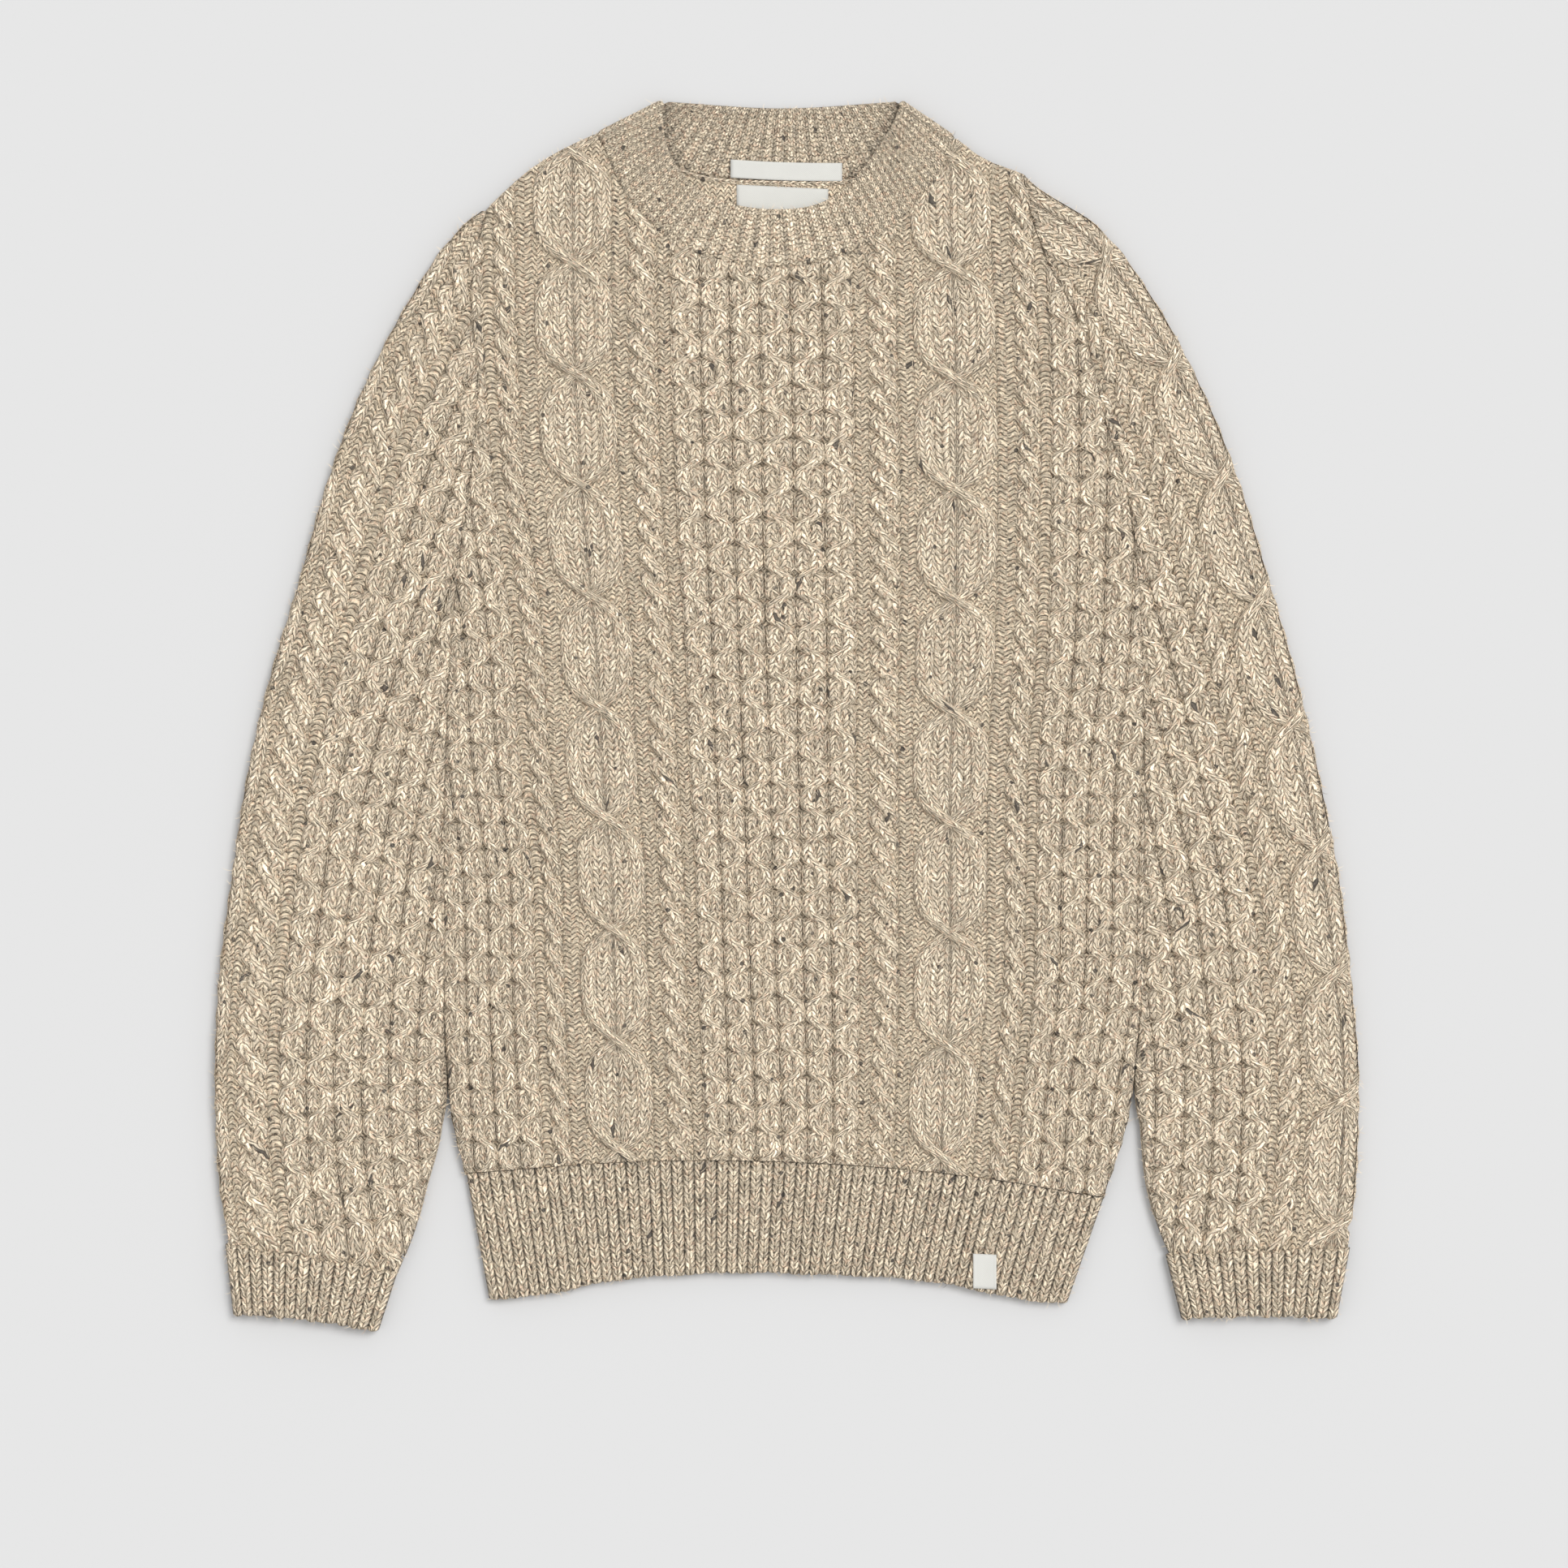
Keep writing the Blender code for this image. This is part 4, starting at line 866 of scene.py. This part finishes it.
class Finish:
    def __init__(self, name, roughness, sheen=0.0):
        self.material = bpy.data.materials.new(name)
        self.material.use_nodes = True
        self.tree = self.material.node_tree
        self.shader = self.tree.nodes["Principled BSDF"]
        self.shader.inputs["Roughness"].default_value = roughness
        self.shader.inputs["Specular IOR Level"].default_value = 0.25
        self.shader.inputs["Sheen Weight"].default_value = sheen
        self.shader.inputs["Sheen Roughness"].default_value = 0.6

    def feed(self, socket, value):
        if isinstance(value, Value):
            self.tree.links.new(value.out, socket)
        elif isinstance(value, (tuple, list)) and socket.type == "RGBA":
            socket.default_value = (*value[:3], 1.0)
        else:
            socket.default_value = value

    def node(self, kind, settings=None, inputs=None, out=0):
        node = self.tree.nodes.new("ShaderNode" + kind)
        for name, value in (settings or {}).items():
            setattr(node, name, value)
        for key, value in (inputs or {}).items():
            self.feed(node.inputs[key], value)
        return Value(self, node.outputs[out])

    def mix(self, share, first, second, blend="MIX"):
        return self.node("Mix", dict(data_type="RGBA", blend_type=blend), {0: share, 6: first, 7: second}, 2)

    def vector(self, x, y, z=0.0):
        return self.node("CombineXYZ", None, {0: x, 1: y, 2: z})

    def noise(self, place, scale, detail=2.0, rough=0.5):
        return self.node("TexNoise", None, {"Vector": place, "Scale": scale, "Detail": detail, "Roughness": rough})

    def random(self, x, y):
        return self.node("TexWhiteNoise", dict(noise_dimensions="2D"), {"Vector": self.vector(x, y)})

    def moved(self, place, by):
        return self.node("VectorMath", dict(operation="ADD"), {0: place, 1: by})

    def dimmed(self, colour, level):
        return self.mix(1.0, colour, self.node("CombineColor", None, {0: level, 1: level, 2: level}), "MULTIPLY")

    def stitchPlace(self):
        # across and along the stitches, and the place on the garment
        across = self.node("SeparateXYZ", None, {0: self.node("UVMap", dict(uv_map="stitch"))})
        return across, across.beside(1), self.place()

    def place(self):
        return self.node("TexCoord", None, None, 3)

    def wear(self, colour, height=None, depth=0.001):
        self.feed(self.shader.inputs["Base Color"], colour)
        if height is not None:
            bump = self.node("Bump", None, {"Height": height, "Distance": depth, "Strength": 1.0})
            self.feed(self.shader.inputs["Normal"], bump)
        return self.material


# the gap colour is painted shade between the stitch legs, the crest colour a painted highlight on their tops
wool = dict(gap=(0.055, 0.042, 0.03), body=(0.64, 0.53, 0.375), crestHighlight=(0.98, 0.84, 0.645),
            rose=(0.95, 0.79, 0.74), grey=(0.42, 0.40, 0.365),
            smudge=(0.20, 0.19, 0.17), nep=(0.035, 0.03, 0.028), sheen=0.08)


def woolColours(f, height, tone, place, legTone, hairs):
    # painted shade in the gaps and painted highlight on the crests, with heathered wool and dark flecks
    shade = f.mix(height.rise(0.05, 0.48), wool["gap"], wool["body"])
    shade = f.mix(height.rise(0.35, 0.95), shade, wool["crestHighlight"])
    # thin lines of painted shade where the plies part
    parting = (hairs - 0.5).size().rise(0.0, 0.05, 1.0, 0.0)
    shade = f.mix(parting * 0.75, shade, wool["gap"])
    rosy = f.noise(place, 420.0, 3.0, 0.65).rise(0.50, 0.66) * 0.75
    greyish = f.noise(f.moved(place, (3.1, 7.7, 1.3)), 360.0, 3.0, 0.65)
    shade = f.mix(rosy, shade, f.mix(1.0, shade, wool["rose"], "MULTIPLY"))
    shade = f.mix(greyish.rise(0.54, 0.72) * 0.5, shade, f.mix(0.5, shade, wool["grey"]))
    smudge = f.noise(f.moved(place, (1.7, 0.3, 2.9)), 70.0, 3.0, 0.6)
    shade = f.mix(smudge.rise(0.66, 0.80) * 0.45, shade, f.mix(0.7, shade, wool["smudge"]))
    # painted shade from the cloth's second UV layer, multiplied into the random brightness of legs, hairs and spots
    # below
    paintedShade = f.node("SeparateXYZ", None, {0: f.node("UVMap", dict(uv_map="paintedShade"))})
    spots = f.noise(place, 700.0, 2.0, 0.8).rise(0.36, 0.64)
    level = (0.47 + tone * 0.34 + hairs.rise(0.36, 0.64) * 0.58 + spots * 0.16) * paintedShade
    shade = f.dimmed(shade, level)
    # one fleck near the middle of each cell, of a size picked by the cell
    cells = f.node("TexVoronoi", dict(voronoi_dimensions="2D", feature="F1"),
                   {"Vector": place, "Scale": 44.0, "Randomness": 1.0})
    pick = f.node("SeparateColor", None, {0: cells.beside(1)})
    reach = cells + f.noise(place, 900.0, 2.0) * 0.05
    fleck = reach.math("LESS_THAN", reach, pick.rise(0.1, 1.0, 0.035, 0.085))
    nep = (fleck + legTone.over(0.9965)).kept()
    return f.mix(nep * (0.62 + tone * 0.36), shade, wool["nep"])


def knitFinish(name, slope=1.15, sideGap=0.62, depth=0.0013, full=1.0):
    f = Finish(name, 0.92, wool["sheen"])
    u, v, place = f.stitchPlace()
    t = (u.fraction() - 0.5).size() * 2.0
    fine = f.noise(f.vector(u * 1.3, v * 1.1), 1.0, 3.0)
    loose = f.noise(f.vector(u * 2.1 + 40.0, v * 1.7), 1.0, 2.0)
    t = (t + (loose - 0.5) * 0.5).kept()
    q = v - t * slope + (fine - 0.5) * 1.5 + f.random(u.floor(), 3.0)
    row = q.floor()
    hand = (u.fraction() - 0.5).over(0.0)
    leg = f.random(row + hand * 71.0, u.floor() + hand * 13.0)
    r = q.fraction() * 2.0 - 1.0
    round_ = (1.0 - r * r).atLeast(0.0).root()
    across = ((t * 3.14159).sine()).atLeast(0.0) ** 0.45
    strand = round_ * (1.0 - sideGap + across * sideGap)
    fibres = f.noise(f.vector(q * 5.5, t * 1.6, leg * 9.0), 1.0, 3.0, 0.7)
    ply = ((q * 12.566 + t * 5.0).sine() * 0.5 + 0.5) * 0.13
    height = strand * (0.80 + fibres * 0.26) + ply * strand
    hairs = f.noise(f.vector(q * 2.7, t * 1.0 + u.floor() * 3.7, hand * 9.0), 1.0, 2.0, 0.6)
    colour = woolColours(f, height * (0.93 * full + (leg - 0.5) * 0.2), leg * 0.5 + fibres * 0.5, place, leg, hairs)
    return f.wear(colour, height, depth)


def purlFinish(name, depth=0.0013):
    f = Finish(name, 0.95, wool["sheen"])
    u, v, place = f.stitchPlace()
    fine = f.noise(f.vector(u * 1.3, v * 1.1), 1.0, 3.0)
    q = v * 1.25 + (u * 6.28318).cosine() * 0.30 + (fine - 0.5) * 1.2 + u.floor() * 0.5
    leg = f.random(q.floor(), u.floor())
    r = q.fraction() * 2.0 - 1.0
    strand = (1.0 - r * r).atLeast(0.0).root()
    fibres = f.noise(f.vector(q * 5.5, u * 3.2, leg * 9.0), 1.0, 3.0, 0.7)
    height = strand * (0.70 + fibres * 0.3)
    hairs = f.noise(f.vector(q * 2.7, u * 2.0), 1.0, 2.0, 0.6)
    colour = woolColours(f, height * 0.76, leg * 0.5 + fibres * 0.5, place, leg * 0.997, hairs)
    return f.wear(colour, height, depth)


tapeWeave = dict(colour=(0.655, 0.65, 0.61), threads=2600.0)


def tapeFinish(name):
    f = Finish(name, 0.75)
    place = f.place()
    x = f.node("SeparateXYZ", None, {0: place})
    y = x.beside(1)
    weave = (x * tapeWeave["threads"] * 3.1416).sine() * (y * tapeWeave["threads"] * 3.1416).sine() * 0.5 + 0.5
    grime = f.noise(place, 120.0, 3.0)
    level = 0.86 + weave * 0.12 + grime * 0.06
    return f.wear(f.dimmed(tapeWeave["colour"], level), weave + grime * 0.5, 0.00015)


def makePiece(target, material, slotName, weld=False):
    mesh = bpy.data.meshes.new(target.name)
    points = np.concatenate(target.points) * mm
    faces = [tuple(int(i) for i in face) for block in target.faces for face in block]
    used = np.unique(np.concatenate([np.array(face) for face in faces]))
    remap = np.full(len(points), -1)
    remap[used] = np.arange(len(used))
    mesh.from_pydata(points[used].tolist(), [], [tuple(int(remap[i]) for i in face) for face in faces])
    # the second UV layer carries the painted shade of each point
    for name, values in (("stitch", target.uvs), ("paintedShade", target.shades)):
        layer = mesh.uv_layers.new(name=name)
        layer.data.foreach_set("uv", np.concatenate(values).astype(np.float32).ravel())
    if weld:
        edit = bmesh.new()
        edit.from_mesh(mesh)
        bmesh.ops.remove_doubles(edit, verts=edit.verts, dist=0.00002)
        edit.to_mesh(mesh)
        edit.free()
    mesh.materials.append(material)
    mesh.shade_smooth()
    piece = bpy.data.objects.new(target.name + "_knit" if target.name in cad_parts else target.name, mesh)
    bpy.context.scene.collection.objects.link(piece)
    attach(piece, "root")
    return piece


print("stage: panels")
makeFront()
makeBack()
makeSleeve("left")
makeSleeve("right")
print("stage: bands and tapes")
makeBand("hem_rib", hemSizes, hemAt, hemEndAt)
makeCuff("left")
makeCuff("right")
makeNeckband()
makeSeamChain()
for name in tapes:
    makeTape(name)

print("stage: finishes")
knit, purl = knitFinish("knit_wool"), purlFinish("purl_wool")
ribbed = knitFinish("ribbed_wool", slope=1.1, sideGap=0.8, depth=0.0012, full=0.9)
banded = knitFinish("band_wool", slope=0.45, sideGap=0.55, depth=0.0012, full=0.88)
tape = tapeFinish("woven_tape")
grounds = dict(front=purl, back=purl, sleeve_left=purl, sleeve_right=purl, hem_rib=ribbed, cuff_left=ribbed,
               cuff_right=ribbed, neckband=banded, neck_label=tape, size_label=tape, hem_tab=tape)
pieces = {}
for name, target in cloths.items():
    node = next(known for known in grounds if name.startswith(known))
    slotName = node + ("_tape" if node in tapes else "_wool")
    finish = grounds.get(name, purl if name.endswith("valleys") else knit)
    pieces[name] = makePiece(target, finish, slotName, weld=name in grounds)
    if name in grounds:
        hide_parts(name)
    print(name, len(pieces[name].data.polygons), "faces")

print("stage: loose fibres")
fuzz = dict(candidates=52000, share=0.42, edge=2.2, width=0.2, long=(3.0, 8.5), lift=(0.05, 0.5))


def makeFuzz():
    woolly = [name for name in cloths
              if "under" not in name and not name.startswith("back") and name not in tapes]
    points, polygons, owners, count = [], [], [], 0
    for name in woolly:
        target = cloths[name]
        quads = np.concatenate(target.faces) + count
        allPoints = np.concatenate(target.points)
        points.append(allPoints)
        polygons.append(quads)
        owners += [name] * len(quads)
        count += len(allPoints)
    tree = BVHTree.FromPolygons(np.concatenate(points).tolist(), np.concatenate(polygons).tolist())
    down = Vector((0, 0, -1))

    def hit(x, y):
        spot, _, face, _ = tree.ray_cast(Vector((x, y, 40)), down)
        return (None, None) if spot is None else (spot.z, owners[face])

    local = np.random.default_rng(29)
    tries = fuzz["candidates"]
    starts = np.stack([local.uniform(-334, 334, tries), local.uniform(-360, 358, tries)], 1)
    turns = local.uniform(0, 2 * math.pi, tries)
    lucks = local.uniform(0, 1, (tries, 5))
    for (x, y), turn, luck in zip(starts, turns, lucks):
        z, owner = hit(x, y)
        if z is None:
            continue
        away = [q for q in (0, 1.57, 3.14, 4.71)
                if hit(x + fuzz["edge"] * math.cos(q), y + fuzz["edge"] * math.sin(q))[0] is None]
        if away:
            turn = away[0] + (luck[0] - 0.5) * 2.4
        elif luck[1] > fuzz["share"]:
            continue
        node = next(n for n in grounds if owner.startswith(n))
        target = cloths.get(node + "_fuzz") or cloth(node + "_fuzz")
        size = fuzz["long"][0] + (fuzz["long"][1] - fuzz["long"][0]) * luck[2] ** 2
        if away:
            size = 2.0 + 2.6 * luck[2]
        bend = (luck[3] - 0.5) * 2.6
        lift = fuzz["lift"][0] + (fuzz["lift"][1] - fuzz["lift"][0]) * luck[4]
        spine = []
        for k in range(4):
            if k:
                x, y = x + size / 3 * math.cos(turn), y + size / 3 * math.sin(turn)
                turn += bend / 3
                below, _ = hit(x, y)
                z = below if below is not None and below > z - 2.5 else z - 0.25
            spine.append((x, y, min(z + lift * math.sin(math.pi * (k + 0.5) / 4), 12.9), turn))
        spine = np.array(spine)
        half = np.array([0.8, 1, 0.9, 0.25]) * fuzz["width"] / 2
        sx, sy = -np.sin(spine[:, 3]) * half, np.cos(spine[:, 3]) * half
        sides = np.array([-1, 1])
        gx = spine[:, 0][:, None] + sx[:, None] * sides
        gy = spine[:, 1][:, None] + sy[:, None] * sides
        gz = np.repeat(spine[:, 2][:, None], 2, 1)
        u, v = np.full((4, 2), luck[1] * 7.1 + luck[4]), np.repeat(np.arange(4.0)[:, None], 2, 1)
        target.grid(gx, gy, gz, u, v)


def fibreFinish(name):
    f = Finish(name, 0.9, 0.2)
    split = f.node("SeparateXYZ", None, {0: f.node("UVMap", dict(uv_map="stitch"))})
    luck = f.random(split, 4.0)
    shade = f.mix(luck.rise(0.0, 1.0), (0.60, 0.475, 0.33), (0.95, 0.81, 0.62))
    shade = f.mix(luck.over(0.93), shade, (0.50, 0.33, 0.26))
    return f.wear(f.mix(luck.over(0.97), shade, (0.10, 0.085, 0.075)))


makeFuzz()
fibre = fibreFinish("loose_fibre")
for name in [n for n in cloths if n.endswith("_fuzz")]:
    pieces[name] = makePiece(cloths[name], fibre, name.removesuffix("_fuzz") + "_wool")
    print(name, len(pieces[name].data.polygons), "faces")

print("stage: floor, lights and camera")
studio = dict(floor=(0.583, 0.583, 0.583), daylight=0.84, sun=1.96, sunAngle=28, sunFrom=(0.50, 0.42, 1.0),
              lens=100, sensor=36, cameraAt=(-0.0016, -0.040, 0.908 / 0.36))
floorMesh = bpy.data.meshes.new("floor")
floorMesh.from_pydata([(-4, -4, 0), (4, -4, 0), (4, 4, 0), (-4, 4, 0)], [], [(0, 1, 2, 3)])
floor = bpy.data.objects.new("floor", floorMesh)
bpy.context.scene.collection.objects.link(floor)
floorFinish = Finish("pale_floor", 0.9)
floorMesh.materials.append(floorFinish.wear(studio["floor"]))
world = bpy.data.worlds.new("studio") if bpy.context.scene.world is None else bpy.context.scene.world
bpy.context.scene.world = world
world.use_nodes = True
world.node_tree.nodes["Background"].inputs[0].default_value = (1.0, 1.0, 1.0, 1.0)
world.node_tree.nodes["Background"].inputs[1].default_value = studio["daylight"]
sun = bpy.data.lights.new("key", "SUN")
sun.energy = studio["sun"]
sun.angle = math.radians(studio["sunAngle"])
sunThing = bpy.data.objects.new("key", sun)
sunThing.rotation_euler = Vector(studio["sunFrom"]).to_track_quat("Z", "Y").to_euler()
bpy.context.scene.collection.objects.link(sunThing)
bpy.context.scene.view_settings.view_transform = "Standard"
view = bpy.data.cameras.new("camera")
view.lens, view.sensor_width = studio["lens"], studio["sensor"]
camera = bpy.data.objects.new("camera", view)
camera.location = studio["cameraAt"]
bpy.context.scene.collection.objects.link(camera)
bpy.context.scene.camera = camera

print("stage: cloth facts")
cuts = {
    "front": dict(flat=(0.41, 0.615), area=0.232, held="laid", rests_on=["back_knit"]),
    "back": dict(flat=(0.41, 0.60), area=0.222, held="laid", rests_on=["floor"]),
    "sleeve_left": dict(flat=(0.30, 0.63), area=0.135, held="laid", rests_on=["floor"]),
    "sleeve_right": dict(flat=(0.30, 0.63), area=0.135, held="laid", rests_on=["floor"]),
    "neckband": dict(flat=(0.46, 0.037), held="folded", rests_on=["floor"]),
    "hem_rib": dict(flat=(0.71, 0.066), held="folded", rests_on=["floor"]),
    "cuff_left": dict(flat=(0.19, 0.040), held="folded", rests_on=["floor"]),
    "cuff_right": dict(flat=(0.20, 0.038), held="folded", rests_on=["floor"]),
    "neck_label": dict(flat=(0.0645, 0.0105), held="laid", rests_on=["neckband_knit"]),
    "size_label": dict(flat=(0.053, 0.020), held="laid", rests_on=["back_knit"]),
    "hem_tab": dict(flat=(0.0135, 0.020), held="laid", rests_on=["hem_rib_knit"]),
}
for name, cut in cuts.items():
    others = [pieces[other] for other in pieces if other != name and other.startswith(name)]
